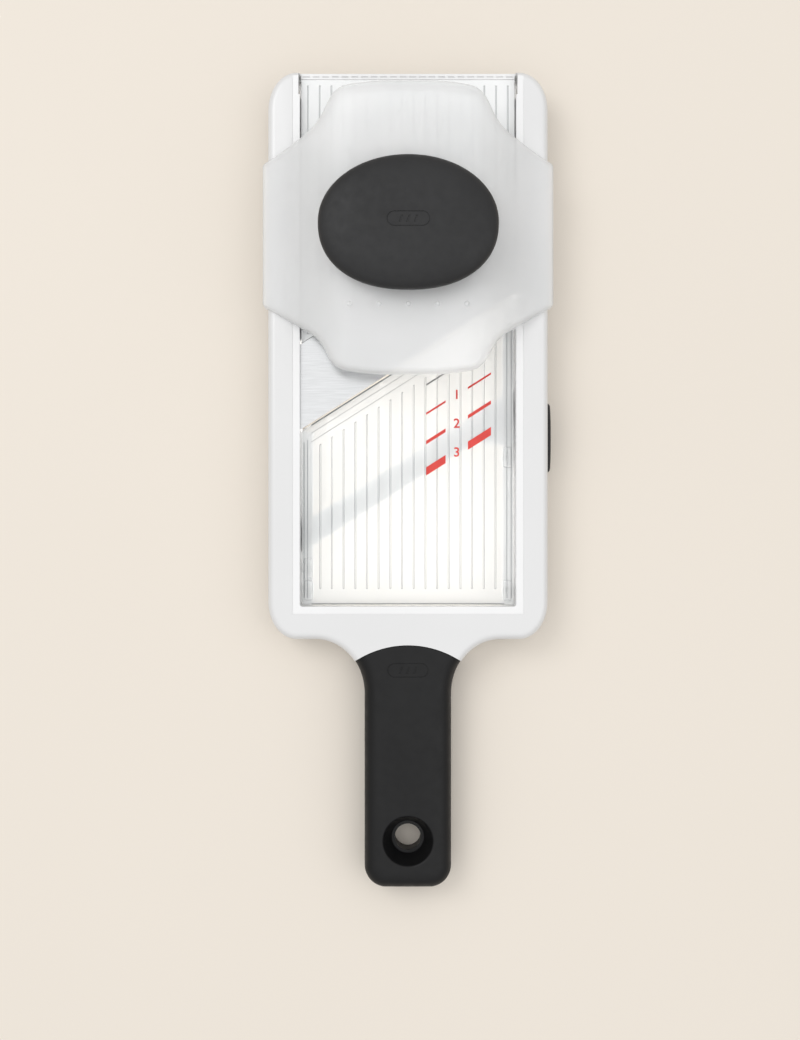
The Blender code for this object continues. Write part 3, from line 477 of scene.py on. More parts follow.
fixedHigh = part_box("fixed_runway")[1]
fixedRunway = {"thick": 2.5 * mm, "count": 18, "nearMargin": 2.5 * mm, "farMargin": 2.6 * mm, "gap": 0.3 * mm}
fixedNear = bladeBack + fixedRunway["gap"]
fixedPlaces = [runway["pitch"] * (i - (fixedRunway["count"] - 1) / 2) for i in range(fixedRunway["count"])]
fixedPlate = ridgedPlate("ridged_far_runway", {
    "side": fixedHigh.x, "bottom": fixedHigh.z - fixedRunway["thick"], "top": fixedHigh.z,
    "nearLeft": fixedNear - slope * fixedHigh.x, "nearRight": fixedNear + slope * fixedHigh.x,
    "farLeft": fixedHigh.y, "farRight": fixedHigh.y}, {
    "near": fixedNear + fixedRunway["nearMargin"], "nearSlope": slope,
    "far": fixedHigh.y - fixedRunway["farMargin"], "farSlope": 0.0,
    "places": fixedPlaces, "width": runway["width"], "depth": runway["depth"]})

# outlines and rounded slabs


def ellipseArc(centre, radii, start, end, steps):  # points on an ellipse between two angles in degrees
    turns = [math.radians(start + (end - start) * i / steps) for i in range(steps + 1)]
    return [(centre[0] + radii[0] * math.cos(a), centre[1] + radii[1] * math.sin(a)) for a in turns]


def outlineFace(name, points, height):  # a circle primitive whose points are set on the outline
    clearSelection()
    bpy.ops.mesh.primitive_circle_add(vertices=len(points), radius=1, fill_type="NGON")
    face = bpy.context.object
    face.name = name
    for point, (x, y) in zip(face.data.vertices, points):
        point.co = (x, y, height)
    return face


def roundSteps(radius, count):  # (inward, outward) steps round a quarter circle
    turns = [math.pi / 2 * k / count for k in range(count + 1)]
    return [(radius * (math.cos(a) - math.cos(b)), radius * (math.sin(b) - math.sin(a)))
            for a, b in zip(turns, turns[1:])]


def roundedSlab(name, points, low, high, topEdge, bottomEdge, count=7):
    # the outline face is extruded, then inset in steps that follow a quarter round at both ends
    slab = outlineFace(name, points, low + bottomEdge)
    startEdit(slab)
    bpy.ops.mesh.select_all(action="SELECT")
    bpy.ops.mesh.extrude_region_move(TRANSFORM_OT_translate={"value": (0, 0,
                                                                       high - low - topEdge - bottomEdge)})
    bpy.ops.mesh.select_all(action="SELECT")
    bpy.ops.mesh.normals_make_consistent(inside=False)
    for edge, sign in ((topEdge, 1), (bottomEdge, -1)):
        if edge:
            for inward, outward in roundSteps(edge, count):
                pickFaces(slab, lambda centre, normal: normal.z * sign > 0.9 and widest(slab, sign, centre))
                bpy.ops.mesh.inset(thickness=inward, depth=outward, use_even_offset=True)
    endEdit()
    return slab


def widest(slab, sign, centre):  # true for the end face, which is the one furthest along Z
    shape = bmesh.from_edit_mesh(slab.data)
    ends = [point.co.z * sign for point in shape.verts]
    return abs(centre.z * sign - max(ends)) < 0.01 * mm


def addRod(name, x, y, low, high, radius, topRadius=None, sides=48):
    clearSelection()
    bpy.ops.mesh.primitive_cone_add(vertices=sides, radius1=radius,
                                    radius2=radius if topRadius is None else topRadius,
                                    depth=high - low, location=(x, y, (low + high) / 2))
    rod = bpy.context.object
    rod.name = name
    bpy.ops.object.transform_apply(location=True, rotation=True, scale=True)
    return rod


def pillPoints(centre, length, width, steps=16):
    half = (length - width) / 2
    right = ellipseArc((centre[0] + half, centre[1]), (width / 2, width / 2), -90, 90, steps)
    left = ellipseArc((centre[0] - half, centre[1]), (width / 2, width / 2), 90, 270, steps)
    return right + left


def upright(name, points, low, high):
    block = outlineFace(name, points, low)
    startEdit(block)
    bpy.ops.mesh.select_all(action="SELECT")
    bpy.ops.mesh.extrude_region_move(TRANSFORM_OT_translate={"value": (0, 0, high - low)})
    bpy.ops.mesh.select_all(action="SELECT")
    bpy.ops.mesh.normals_make_consistent(inside=False)
    endEdit()
    return block


def copyOf(piece, name):
    twin = piece.copy()
    twin.data = piece.data.copy()
    twin.name = name
    bpy.context.scene.collection.objects.link(twin)
    return twin


badge = {"length": 18.6 * mm, "width": 6.6 * mm, "line": 0.45 * mm, "depth": 0.3 * mm,
         "barWidth": 0.9 * mm, "barHeight": 3.0 * mm, "barPitch": 3.2 * mm, "lean": 0.5 * mm}


def engraveBadge(piece, centre, low, high):
    # an oval line and three leaning bars, cut to an even depth under a curved top
    floorCopy = copyOf(piece, "badge_floor")
    startEdit(floorCopy)
    bpy.ops.mesh.select_all(action="SELECT")
    bpy.ops.transform.translate(value=(0, 0, -badge["depth"]))
    endEdit()
    cutter = upright("badge_ring", pillPoints(centre, badge["length"], badge["width"]), low, high)
    inner = upright("badge_middle", pillPoints(centre, badge["length"] - 2 * badge["line"],
                                               badge["width"] - 2 * badge["line"]), low - mm, high + mm)
    joinWith(cutter, inner, "DIFFERENCE")
    for step in (-1, 0, 1):
        x = centre[0] + step * badge["barPitch"]
        half, rise, lean = badge["barWidth"] / 2, badge["barHeight"] / 2, badge["lean"]
        corners = [(x - half - lean, centre[1] - rise), (x + half - lean, centre[1] - rise),
                   (x + half + lean, centre[1] + rise), (x - half + lean, centre[1] + rise)]
        joinWith(cutter, upright("badge_bar", corners, low, high), "UNION")
    joinWith(cutter, floorCopy, "DIFFERENCE")
    joinWith(piece, cutter, "DIFFERENCE")


# parts of both runways besides their grooves


def slantedBlock(name, xs, vs, zs):  # a slab between two lines parallel to the blade
    slab = addBlock(name, (xs[0], vs[0], zs[0]), (xs[1], vs[1], zs[1]))
    middle = (xs[0] + xs[1]) / 2
    startEdit(slab)
    pickPoints(slab, lambda p: p.x > middle)
    bpy.ops.transform.translate(value=(0, slope * xs[1], 0))
    pickPoints(slab, lambda p: p.x < middle)
    bpy.ops.transform.translate(value=(0, slope * xs[0], 0))
    endEdit()
    return slab


def tintCuts(plate, low, high):  # cut faces between two heights take the painted groove shade in slot 1
    for face in plate.data.polygons:
        if low < face.center.z < high:
            face.material_index = 1


def screwHoles(plate, word, radius, low):
    for node in frame["nodes"]:
        if word in node:
            first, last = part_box(node)
            joinWith(plate, addRod("screw_hole", (first.x + last.x) / 2, (first.y + last.y) / 2, low,
                                   last.z + 0.3 * mm, radius, sides=24), "DIFFERENCE")


under = {"stripX": 44.2 * mm, "stripDrop": 0.5 * mm, "ribX": (-36, -12, 12, 36), "ribHalf": 1.0 * mm,
         "ribFrom": -1.8 * mm, "ribTo": 52.6 * mm, "ribStart": 0.4 * mm, "wedge": 0.1103, "bond": 0.3 * mm,
         "postRadius": 2.0 * mm, "postFoot": 1.3 * mm, "nearGap": 0.5 * mm, "bossSize": (1.9 * mm, 4.6 * mm),
         "bossRise": 0.7 * mm, "bossRound": 0.8 * mm, "boreRadius": 1.1 * mm, "boreDepth": 0.6 * mm,
         "stepDepth": 0.4 * mm, "frontStep": 0.8 * mm, "stripLineHalf": 0.2 * mm, "stripLineFloor": 0.8 * mm,
         "stripLineNear": 3 * mm, "stripLineFar": 6 * mm, "lineDepth": 0.25 * mm, "lineWidth": 0.35 * mm,
         "lines": (4.2 * mm, 8.2 * mm),
         "stripLines": (-47.6 * mm, -46.0 * mm, 45.4 * mm, 47.4 * mm),
         "posts": ((-45.5, -49.95), (45.5, -49.95), (-45.5, -39.87), (45.5, 11.0))}
underside = runwayHigh.z - runway["thick"]
for x in under["ribX"]:
    ends = (under["ribFrom"] + slope * x * mm, under["ribTo"] + slope * x * mm)
    rib = addBlock("rib", (x * mm - under["ribHalf"], ends[0], underside - under["ribStart"]),
                   (x * mm + under["ribHalf"], ends[1], underside + under["bond"]))
    startEdit(rib)
    pickPoints(rib, lambda p: p.z < underside and p.y > sum(ends) / 2)
    bpy.ops.transform.translate(value=(0, 0, -under["wedge"] * (ends[1] - ends[0])))
    endEdit()
    joinWith(runwayPlate, rib, "UNION")
for side in (-1, 1):
    x0, x1 = sorted((side * under["stripX"], side * (runwayHigh.x + mm)))
    joinWith(runwayPlate, addBlock("strip_step", (x0, runwayLow.y - mm, runwayHigh.z - under["stripDrop"]),
                                   (x1, runwayHigh.y + mm, runwayHigh.z + mm)), "DIFFERENCE")
for x, y in under["posts"]:
    joinWith(runwayPlate, addRod("post", x * mm, y * mm, under["postFoot"], underside + under["bond"],
                                 under["postRadius"]), "UNION")
    boss = addBlock("boss", (x * mm - under["bossSize"][0], y * mm - under["bossSize"][1], underside),
                    (x * mm + under["bossSize"][0], y * mm + under["bossSize"][1],
                     runwayHigh.z + under["bossRise"]))
    startEdit(boss)
    pickEdges(boss, lambda a, b: a.z > underside + mm or b.z > underside + mm)
    bpy.ops.mesh.bevel(offset=under["bossRound"], segments=4, affect="EDGES")
    endEdit()
    joinWith(boss, addRod("boss_bore", x * mm, y * mm, runwayHigh.z - under["boreDepth"],
                          runwayHigh.z + 2 * mm,
                          under["boreRadius"], sides=32), "DIFFERENCE")
    joinWith(runwayPlate, boss, "UNION")
joinWith(runwayPlate, addBlock("near_step",
                               (-under["stripX"], runwayLow.y - mm, runwayHigh.z - under["stepDepth"]),
                               (under["stripX"], runwayLow.y + under["nearGap"], runwayHigh.z + mm)),
         "DIFFERENCE")
joinWith(runwayPlate, slantedBlock("front_step", (-runwayHigh.x, runwayHigh.x),
                                   (front - under["frontStep"], front + 2 * mm),
                                   (runwayHigh.z - under["stepDepth"], runwayHigh.z + mm)), "DIFFERENCE")
for x in under["stripLines"]:
    far = front + slope * x - under["stripLineFar"]
    joinWith(runwayPlate, addBlock("strip_line",
                                   (x - under["stripLineHalf"], runwayLow.y + under["stripLineNear"],
                                    runwayHigh.z - under["stripLineFloor"]),
                                   (x + under["stripLineHalf"], far, runwayHigh.z + mm)), "DIFFERENCE")
for back in under["lines"]:
    joinWith(runwayPlate, slantedBlock("embossed_line", (-under["stripX"], under["stripX"]),
                                       (front - back, front - back + under["lineWidth"]),
                                       (runwayHigh.z - under["lineDepth"], runwayHigh.z + mm)), "DIFFERENCE")
# groove walls and floors and the strip steps take the painted groove shade
tintCuts(runwayPlate, runwayHigh.z - 0.49 * mm, runwayHigh.z - 0.02 * mm)
tintCuts(runwayPlate, runwayHigh.z - 0.82 * mm, runwayHigh.z - 0.52 * mm)
for face in runwayPlate.data.polygons:  # the two ends of the panel take the painted gap shadow in slot 2
    atNear = face.center.y < runwayLow.y + under["nearGap"] + 0.1 * mm and abs(face.center.x) < under["stripX"]
    atFront = face.center.y - slope * face.center.x > front - 0.85 * mm
    if face.center.z < runwayHigh.z - 0.1 * mm and face.center.z > underside + 0.1 * mm and (atNear or atFront):
        face.material_index = 2
place(runwayPlate, "runway", ["adjustable_runway"])

stepTop = bladeLow.z - 0.3 * mm
joinWith(fixedPlate, slantedBlock("blade_step", (-fixedHigh.x, fixedHigh.x),
                                  (fixedNear - 12 * mm, fixedNear + mm),
                                  (fixedHigh.z - fixedRunway["thick"], stepTop)), "UNION")
screwHoles(fixedPlate, "runway_screw", 1.4 * mm, 10 * mm)
screwHoles(fixedPlate, "clamp_screw", 1.6 * mm, 10 * mm)
# the far plate's groove faces take the paler painted groove shade, and its top the lighter painted-light copy
# of the plastic
tintCuts(fixedPlate, fixedHigh.z - runway["depth"] * 1.1, fixedHigh.z - 0.02 * mm)
fixedPlate.data.materials[0] = farSanPaintedLight
fixedPlate.data.materials[1] = farSanGrooveShade
place(fixedPlate, "frame", ["fixed_runway"])
print("runways made; slicing gap in mm:", round((bladeEdge - front) / mm, 2))

# frame: two rails, shoulder and neck, hollow from below

frameLow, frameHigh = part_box("frame")
neck = {"split": math.radians(36.4), "reach": (22.2 * mm, 25.1 * mm), "gripHalf": 19.8 * mm, "apex": 2.8 * mm}
# the grip's top edge is an arc that meets the neck at the split angle of the neck's ellipse
splitX = neck["gripHalf"] + neck["reach"][0] * (1 - math.cos(neck["split"]))
splitFall = neck["reach"][1] * (1 - math.sin(neck["split"])) - neck["apex"]
splitRadius = (splitX ** 2 + splitFall ** 2) / (2 * splitFall)
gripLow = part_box("handle_grip")[0]
body = {"corner": (13 * mm, 17.1 * mm), "shoulderY": -71.85 * mm, "gripHalf": neck["gripHalf"],
        "neck": neck["reach"],
        "gripCorner": 10 * mm, "splitTop": -74.65 * mm, "splitRadius": splitRadius, "gap": 0.3 * mm,
        "rail": 14.5 * mm, "wall": 2.5 * mm, "windowNear": -56.95 * mm, "farBar": 2.5 * mm, "edge": 3.5 * mm,
        "stripWidth": 3.3 * mm, "stripDrop": 0.35 * mm, "ledge": 5 * mm}
half = frameHigh.x
inner = half - body["rail"]
farY = frameHigh.y
endY = gripLow.y


def silhouette(steps):
    right = ellipseArc((body["gripHalf"] - body["gripCorner"], endY + body["gripCorner"]),
                       (body["gripCorner"], body["gripCorner"]), -84, 0, steps)
    right += ellipseArc((body["gripHalf"] + body["neck"][0], body["shoulderY"] - body["neck"][1]),
                        body["neck"],
                        180, 90, steps * 2)
    right += ellipseArc((half - body["corner"][0], body["shoulderY"] + body["corner"][1]), body["corner"],
                        -90, 0, steps)
    right += ellipseArc((half - body["corner"][0], farY - body["corner"][1]), body["corner"], 0, 90, steps)
    return [(0, endY)] + right + [(-x, y) for x, y in reversed(right)]


def gripSide(outset):  # everything on the grip's side of its arched top edge
    middle = body["splitTop"] - body["splitRadius"]
    radius = body["splitRadius"] + outset
    top = ellipseArc((0, middle), (radius, radius), 50, 130, 48)
    return [(top[-1][0], endY - 5 * mm), (top[0][0], endY - 5 * mm)] + top


frameSkin = roundedSlab("frame_skin", silhouette(14), frameLow.z, frameHigh.z, body["edge"], 0.8 * mm)
joinWith(frameSkin, upright("grip_side", gripSide(body["gap"]), frameLow.z - mm, frameHigh.z + mm),
         "DIFFERENCE")
window = addBlock("window", (-inner, body["windowNear"], frameLow.z - mm),
                  (inner, farY - body["farBar"], frameHigh.z + mm))
startEdit(window)
pickEdges(window, lambda a, b: abs(a.z - b.z) > mm and a.y < 0)
bpy.ops.mesh.bevel(offset=1.2 * mm, segments=5, affect="EDGES")
endEdit()
joinWith(frameSkin, window, "DIFFERENCE")
low, high = frameLow.z - mm, frameHigh.z + mm
step = inner + body["stripWidth"]
joinWith(frameSkin, addBlock("strip", (-step, body["windowNear"] - body["stripWidth"],
                                       frameHigh.z - body["stripDrop"]),
                             (step, farY + mm, high)), "DIFFERENCE")
joinWith(frameSkin, addBlock("far_notch", (-inner, farY - 5 * mm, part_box("fixed_runway")[1].z - body["gap"]),
                             (inner, farY + mm, high)), "DIFFERENCE")
joinWith(frameSkin, addBlock("shoulder_hollow", (-inner, body["shoulderY"] + body["wall"], low),
                             (inner, body["windowNear"] - body["wall"], frameHigh.z - body["wall"])),
         "DIFFERENCE")
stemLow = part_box("thickness_bar")[0]
footNear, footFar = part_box("foot_near_right"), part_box("foot_far_right")
bladeZ = (bladeLow.z - body["gap"], bladeHigh.z + body["gap"])
travel = 40.8 * mm  # of the side knob
for side in (-1, 1):
    x0, x1 = sorted((side * (inner + body["wall"]), side * (half - body["wall"])))
    joinWith(frameSkin, addBlock("rail_hollow", (x0, footNear[1].y + 2 * body["wall"], low),
                                 (x1, footFar[0].y - 2 * body["wall"], frameHigh.z - body["wall"])),
             "DIFFERENCE")
    for corner in (footNear, footFar):
        joinWith(frameSkin, addBlock("foot_pocket", (x0, corner[0].y - body["gap"], low),
                                     (x1, corner[1].y + body["gap"], corner[1].z + body["gap"])),
                 "DIFFERENCE")
    x0, x1 = sorted((side * (inner - body["ledge"]), side * (inner + mm)))
    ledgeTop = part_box("fixed_runway")[0].z - body["gap"]
    ledgeStart = bladeBack + side * slope * inner + body["wall"]
    joinWith(frameSkin, addBlock("ledge", (x0, ledgeStart, ledgeTop - 3 * mm), (x1, farY - mm, ledgeTop)),
             "UNION")
    shelfEnd = bladeEdge + side * slope * inner
    joinWith(frameSkin, addBlock("shelf", (x0, body["windowNear"] - mm, stemLow.z - 2.8 * mm),
                                 (x1, shelfEnd, stemLow.z - body["gap"])), "UNION")
    slot = addBlock("blade_slot", (min(side * (inner - mm), side * (inner + 3 * mm)), bladeEdge - body["gap"],
                                   bladeZ[0]),
                    (max(side * (inner - mm), side * (inner + 3 * mm)), bladeBack + body["gap"], bladeZ[1]))
    startEdit(slot)
    bpy.ops.mesh.select_all(action="SELECT")
    bpy.ops.transform.translate(value=(0, side * slope * (inner + mm), 0))
    endEdit()
    joinWith(frameSkin, slot, "DIFFERENCE")
slotY = (18 * mm - body["gap"], 30 * mm + travel + body["gap"])
joinWith(frameSkin, addBlock("stem_slot", (inner - mm, slotY[0], 4.7 * mm),
                             (inner + 3.5 * mm, slotY[1], 8.3 * mm)),
         "DIFFERENCE")
joinWith(frameSkin, addBlock("tongue_slot", (half - 3.5 * mm, slotY[0], 8.0 * mm),
                             (half + mm, slotY[1], 11.1 * mm)),
         "DIFFERENCE")
cornerSlot = {"inX": 48.6 * mm, "outX": 49.6 * mm, "length": 10.5 * mm, "floor": 8 * mm}
for side in (-1, 1):
    x0, x1 = sorted((side * cornerSlot["inX"], side * cornerSlot["outX"]))
    joinWith(frameSkin, addBlock("corner_slot", (x0, farY - cornerSlot["length"], cornerSlot["floor"]),
                                 (x1, farY - 0.9 * mm, frameHigh.z + mm)), "DIFFERENCE")
dash = {"y": 184.0 * mm, "pitch": 4.4 * mm, "count": 22, "length": 3.0 * mm, "width": 0.6 * mm,
        "depth": 0.4 * mm}
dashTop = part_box("fixed_runway")[1].z - body["gap"]
dashes = []
for i in range(dash["count"]):
    x = dash["pitch"] * (i - (dash["count"] - 1) / 2)
    dashes.append(addBlock("dash", (x - dash["length"] / 2, dash["y"] - dash["width"] / 2,
                                    dashTop - dash["depth"]),
                           (x + dash["length"] / 2, dash["y"] + dash["width"] / 2, dashTop + mm)))
joinWith(frameSkin, joinedPieces(dashes, "dashes"), "DIFFERENCE")
smoothByAngle(frameSkin, 30)
frameSkin.data.materials.append(whiteAbs)
frameSkin.data.materials.append(highlightAbs)
stripZ = frameHigh.z - body["stripDrop"]
# the strip tops beside the window and the far bar top take the painted-highlight copy of the ABS
for face in frameSkin.data.polygons:
    if face.normal.z > 0.9 and any(abs(face.center.z - z) < 0.02 * mm for z in (stripZ, dashTop)):
        face.material_index = 1
place(frameSkin, "frame", ["frame"])
print("frame made")

# soft grip over the tang, with its hang hole

grip = {"edge": 7.5 * mm, "drop": 2.0 * mm, "hangY": endY + 21.9 * mm, "bore": 6.0 * mm, "neck": 7.4 * mm,
        "mouth": 11.4 * mm, "depth": 10 * mm, "lip": 0.7 * mm, "badgeY": -85.6 * mm}
gripSkin = roundedSlab("grip_skin", silhouette(14), frameLow.z, frameHigh.z, grip["edge"], 6 * mm)
middleZ = (frameLow.z + frameHigh.z) / 2
for point in gripSkin.data.vertices:  # the top falls a little towards the end
    share = min(1, max(0, (body["shoulderY"] - point.co.y) / (body["shoulderY"] - endY)))
    lift = max(0, point.co.z - middleZ) / (frameHigh.z - middleZ)
    point.co.z -= grip["drop"] * share * lift
joinWith(gripSkin, upright("grip_part", gripSide(0), frameLow.z - mm, frameHigh.z + mm), "INTERSECT")
hangTop = frameHigh.z - grip["drop"] * 0.83
joinWith(gripSkin, addRod("hang_bore", 0, grip["hangY"], 0, frameHigh.z + mm, grip["bore"]), "DIFFERENCE")
slopeOut = (grip["mouth"] - grip["neck"]) / grip["depth"]
joinWith(gripSkin, addRod("hang_mouth", 0, grip["hangY"], hangTop - grip["depth"], hangTop + 2 * mm,
                          grip["neck"],
                          grip["mouth"] + 2 * mm * slopeOut, 64), "DIFFERENCE")
startEdit(gripSkin)
pickEdges(gripSkin, lambda a, b: a.z > hangTop - 1.5 * mm and b.z > hangTop - 1.5 * mm
          and all(abs(math.hypot(p.x, p.y - grip["hangY"]) - grip["mouth"]) < 0.5 * mm for p in (a, b)))
bpy.ops.mesh.bevel(offset=grip["lip"], segments=4, affect="EDGES")
endEdit()
engraveBadge(gripSkin, (0, grip["badgeY"]), 15 * mm, 30 * mm)
smoothByAngle(gripSkin, 32)
gripSkin.data.materials.append(shadedGripTpe)
place(gripSkin, "frame", ["handle_grip"])
print("grip made")

# frosted shell of the food holder

shellLow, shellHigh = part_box("holder_shell")
holderY = (shellLow.y + shellHigh.y) / 2
shell = {"wingHalf": 31.9 * mm, "waist": (40.2 * mm, 46.7 * mm), "corner": (32.6 * mm, 61.4 * mm),
         "crown": (16.5 * mm, 63.9 * mm), "plateau": 23.3 * mm, "wingTop": 24.2 * mm, "wall": 1.7 * mm,
         "lip": 10 * mm, "round": 2.6 * mm, "rings": (0.35, 0.45, 0.55, 0.6, 0.65), "railClear": 22.3 * mm,
         "skirtIn": 63.9 * mm, "cutPitch": 2.4 * mm, "crossPitch": 8 * mm}
shellCorners = [  # (x, y, rounding along the edges), first quarter, seen from above
    (shellHigh.x, shell["wingHalf"], 1.5 * mm), (*shell["waist"], 6 * mm),
    (*shell["corner"], 6 * mm), (*shell["crown"], 8 * mm)]


def archTop(x):
    share = min(1, max(0, (abs(x) - shell["plateau"]) / (shellHigh.x - shell["plateau"])))
    return shellHigh.z - (shellHigh.z - shell["wingTop"]) * (1 - math.cos(math.pi * share)) / 2


def shellOutline(steps):
    upper = shellCorners + [(-x, y, r) for x, y, r in reversed(shellCorners)]
    ring = upper + [(-x, -y, r) for x, y, r in upper]
    points = []
    for i, (x, y, reach) in enumerate(ring):
        before, after = Vector(ring[i - 1][:2]), Vector(ring[(i + 1) % len(ring)][:2])
        here = Vector((x, y))
        a, b = (before - here).normalized() * reach, (after - here).normalized() * reach
        for k in range(steps + 1):
            t = k / steps
            points.append(here + a * (1 - t) ** 2 + b * t ** 2)
    return [(p.x, p.y + holderY) for p in points]


edgeLine = [Vector(p) for p in shellOutline(6)]


def fromEdge(x, y):  # distance to the shell's outline
    here = Vector((x, y))
    best = 1.0
    for a, b in zip(edgeLine, edgeLine[1:] + edgeLine[:1]):
        run = b - a
        t = min(1, max(0, (here - a).dot(run) / run.length_squared))
        best = min(best, (here - a - run * t).length)
    return best


shellSkin = outlineFace("shell_skin", shellOutline(6), 0)
startEdit(shellSkin)
bpy.ops.mesh.select_all(action="SELECT")
bpy.ops.mesh.normals_make_consistent(inside=False)
for ring in shell["rings"]:
    bpy.ops.mesh.select_all(action="DESELECT")
    pickFaces(shellSkin, lambda centre, normal: abs(centre.x) < 5 * mm and abs(centre.y - holderY) < 5 * mm)
    bpy.ops.mesh.inset(thickness=ring * mm, use_even_offset=True)
count = int(shellHigh.x / shell["cutPitch"])
for i in range(-count, count + 1):
    cutAlong(shellSkin, (i * shell["cutPitch"], 0, 0), (1, 0, 0))
count = int((shellHigh.y - holderY) / shell["crossPitch"])
for i in range(-count, count + 1):
    cutAlong(shellSkin, (0, holderY + i * shell["crossPitch"], 0), (0, 1, 0))
bpy.ops.mesh.select_mode(type="EDGE")
shape = bmesh.from_edit_mesh(shellSkin.data)
for edge in shape.edges:
    edge.select_set(edge.is_boundary)
bmesh.update_edit_mesh(shellSkin.data)
bpy.ops.mesh.extrude_edges_move(TRANSFORM_OT_translate={"value": (0, 0, -1)})
endEdit()
for point in shellSkin.data.vertices:
    x, y, low = point.co
    if low < -0.5:  # lower edge: skirts outside the rails, a lip elsewhere
        point.co.z = shellLow.z if abs(x) > shell["skirtIn"] else max(shell["railClear"],
                                                                      archTop(x) - shell["lip"])
    else:
        away = min(fromEdge(x, y), shell["round"])
        fall = shell["round"] - math.sqrt(max(0, shell["round"] ** 2 - (shell["round"] - away) ** 2))
        point.co.z = archTop(x) - fall * 0.6
applyModifier(shellSkin, "SOLIDIFY", {"thickness": shell["wall"], "offset": -1, "use_even_offset": True})
screwHoles(shellSkin, "holder_screw", 1.6 * mm, 30 * mm)
smoothByAngle(shellSkin, 50)
shellSkin.data.materials.append(frostedPp)
place(shellSkin, "food_holder", ["holder_shell"])

spikes = {"pitchX": 12.8 * mm, "pitchY": 17.0 * mm, "rows": (5, 7, 7, 7, 5), "root": 1.5 * mm,
          "tip": 0.5 * mm,
          "tipZ": 26 * mm}
spikeParts = []
for row, number in enumerate(spikes["rows"]):
    y = holderY + spikes["pitchY"] * (row - 2)
    for i in range(number):
        x = spikes["pitchX"] * (i - (number - 1) / 2)
        top = archTop(x) - shell["wall"] + 0.3 * mm
        spike = addRod("spike", x, y, spikes["tipZ"], top, spikes["tip"], spikes["root"], 14)
        startEdit(spike)
        pickFaces(spike, lambda centre, normal: normal.z < -0.9)
        bpy.ops.mesh.inset(thickness=0.25 * mm, depth=0.25 * mm)
        endEdit()
        spikeParts.append(spike)
        if row == 0:  # the moulding shows a small button over each spike outside the knob
            spikeParts.append(addRod("root_button", x, y, archTop(x) - 0.3 * mm, archTop(x) + 0.5 * mm,
                                     1.6 * mm, 0.7 * mm, 20))
holderSpikes = joinedPieces(spikeParts, "holder_spikes")
smoothByAngle(holderSpikes, 40)
holderSpikes.data.materials.append(frostedPp)
place(holderSpikes, "food_holder")
print("shell made")

# oval knob in two soft halves

baseLow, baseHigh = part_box("knob_base")
capLow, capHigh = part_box("knob_cap")
oval = {"halfX": capHigh.x, "halfY": (capHigh.y - capLow.y) / 2, "rimZ": baseHigh.z + 0.3 * mm, "sides": 128,
        "farPower": 2.02, "nearPower": 2.25}


def ovalPoints(halfX, halfY):  # an ellipse, a little squarer on the near side
    points = []
    for i in range(oval["sides"]):
        a = 2 * math.pi * i / oval["sides"]
        c, s = math.cos(a), math.sin(a)
        share = 2 / (oval["farPower"] if s > 0 else oval["nearPower"])
        points.append((halfX * math.copysign(abs(c) ** share, c),
                       holderY + halfY * math.copysign(abs(s) ** share, s)))
    return points


def ovalStack(name, levels):  # levels of (narrowing, z) from the first face to the last
    stack = outlineFace(name, ovalPoints(oval["halfX"] - levels[0][0], oval["halfY"] - levels[0][0]),
                        levels[0][1])
    startEdit(stack)
    bpy.ops.mesh.select_all(action="SELECT")
    narrow, z = levels[0]
    for nextNarrow, nextZ in levels[1:]:
        bpy.ops.mesh.extrude_region_move(TRANSFORM_OT_translate={"value": (0, 0, nextZ - z)})
        factors = ((oval["halfX"] - nextNarrow) / (oval["halfX"] - narrow),
                   (oval["halfY"] - nextNarrow) / (oval["halfY"] - narrow), 1)
        bpy.ops.transform.resize(value=factors, center_override=(0, holderY, nextZ))
        narrow, z = nextNarrow, nextZ
    bpy.ops.mesh.select_all(action="SELECT")
    bpy.ops.mesh.normals_make_consistent(inside=False)
    endEdit()
    return stack


capRise = capHigh.z - oval["rimZ"]
capLevels = [(1.2 * mm, oval["rimZ"]), (0.35 * mm, oval["rimZ"] + 0.15 * mm), (0.0, oval["rimZ"] + 0.6 * mm)]
for k in range(1, 17):
    a = math.pi / 2 * k / 17
    capLevels.append((oval["halfY"] * 0.97 * (1 - math.cos(a)) ** 1.15,
                      oval["rimZ"] + 0.6 * mm + (capRise - 0.6 * mm) * math.sin(a) ** 0.9))
capSkin = ovalStack("cap_skin", capLevels)
engraveBadge(capSkin, (0, holderY), oval["rimZ"] + 3 * mm, capHigh.z + 3 * mm)
smoothByAngle(capSkin, 32)
capSkin.data.materials.append(softTpe)
place(capSkin, "food_holder", ["knob_cap"])

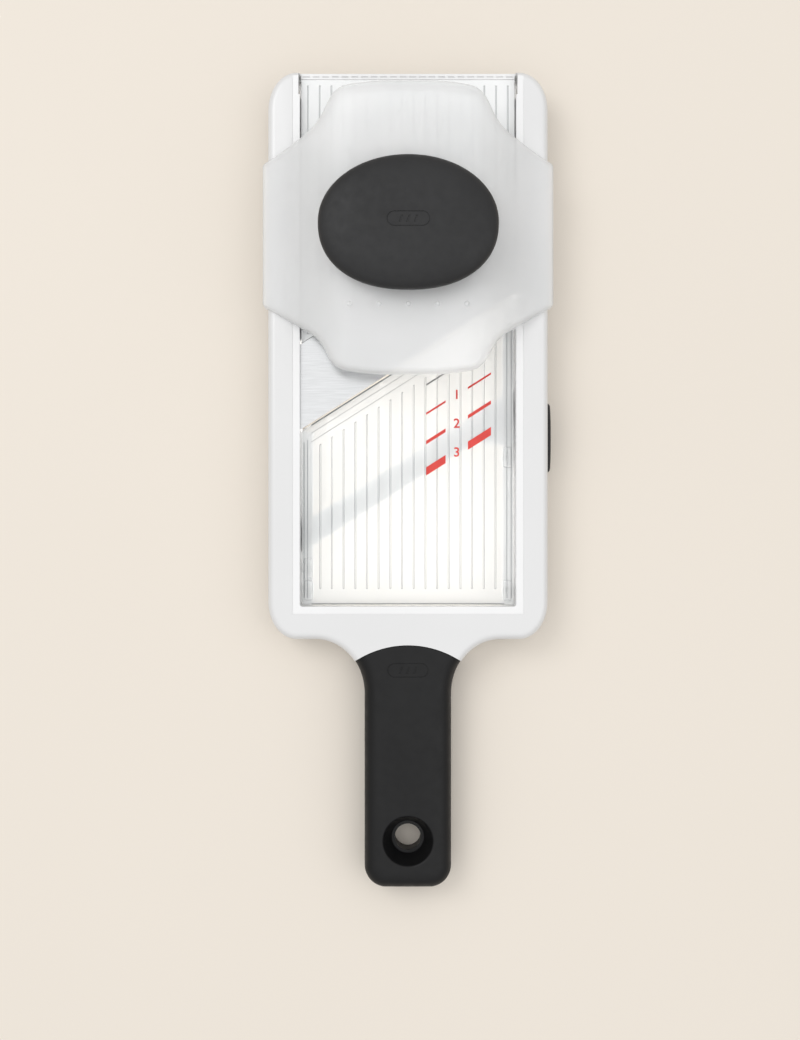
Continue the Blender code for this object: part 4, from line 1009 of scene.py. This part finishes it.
foot = 9.0 * mm
baseTop = oval["rimZ"] - 0.15 * mm
baseLevels = [(foot, baseLow.z)]
for k in range(1, 9):
    t = k / 8
    baseLevels.append((foot * (1 - t) ** 1.6 + 0.3 * mm, baseLow.z + (baseTop - baseLow.z - 0.5 * mm) * t))
baseLevels += [(0.5 * mm, baseTop - 0.2 * mm), (1.2 * mm, baseTop)]
baseSkin = ovalStack("base_skin", baseLevels)
screwHoles(baseSkin, "holder_screw", 1.6 * mm, 40 * mm)
smoothByAngle(baseSkin, 40)
baseSkin.data.materials.append(softTpe)
place(baseSkin, "food_holder", ["knob_base"])
print("knob made")


# printed thickness marks, parallel to the blade

marks = {"leftX": (8.4 * mm, 17.3 * mm), "rightX": (27.5 * mm, 38.1 * mm), "pitch": 13.2 * mm,
         "leftFirst": 47.0 * mm, "rightFirst": 59.3 * mm, "widths": (0.8 * mm, 1.0 * mm, 1.7 * mm, 3.8 * mm),
         "lift": 0.05 * mm, "thick": 0.03 * mm, "digitX": 22.4 * mm, "digitFirst": 39.6 * mm,
         "digitSize": 6.0 * mm}


def printedBar(name, xs, middle, width, material):
    low = runwayHigh.z + marks["lift"]
    bar = addBlock(name, (xs[0], middle - width / 2, low), (xs[1], middle + width / 2, low + marks["thick"]))
    rise = slope * (xs[1] - xs[0]) / 2
    startEdit(bar)
    pickPoints(bar, lambda p: p.x > (xs[0] + xs[1]) / 2)
    bpy.ops.transform.translate(value=(0, rise, 0))
    pickPoints(bar, lambda p: p.x < (xs[0] + xs[1]) / 2)
    bpy.ops.transform.translate(value=(0, -rise, 0))
    endEdit()
    bar.data.materials.append(material)
    place(bar, "runway")


for step, width in enumerate(marks["widths"]):
    ink = greyInk if step == 0 else redInk
    printedBar(f"left_mark_{step}", marks["leftX"], marks["leftFirst"] - step * marks["pitch"], width, ink)
    printedBar(f"right_mark_{step}", marks["rightX"], marks["rightFirst"] - step * marks["pitch"], width, ink)
for step in (1, 2, 3):
    clearSelection()
    bpy.ops.object.text_add(location=(marks["digitX"], marks["digitFirst"] - (step - 1) * marks["pitch"],
                                      runwayHigh.z + marks["lift"]))
    digit = bpy.context.object
    digit.data.body = str(step)
    digit.data.size = marks["digitSize"]
    digit.data.align_x, digit.data.align_y = "CENTER", "CENTER"
    digit.data.extrude = marks["thick"] / 2
    digit.data.offset = 0.1 * mm
    bpy.ops.object.convert(target="MESH")
    digit = bpy.context.object
    digit.name = f"mark_digit_{step}"
    bpy.ops.object.transform_apply(location=True, rotation=True, scale=True)
    digit.data.materials.append(redInk)
    place(digit, "runway")
print("marks printed")
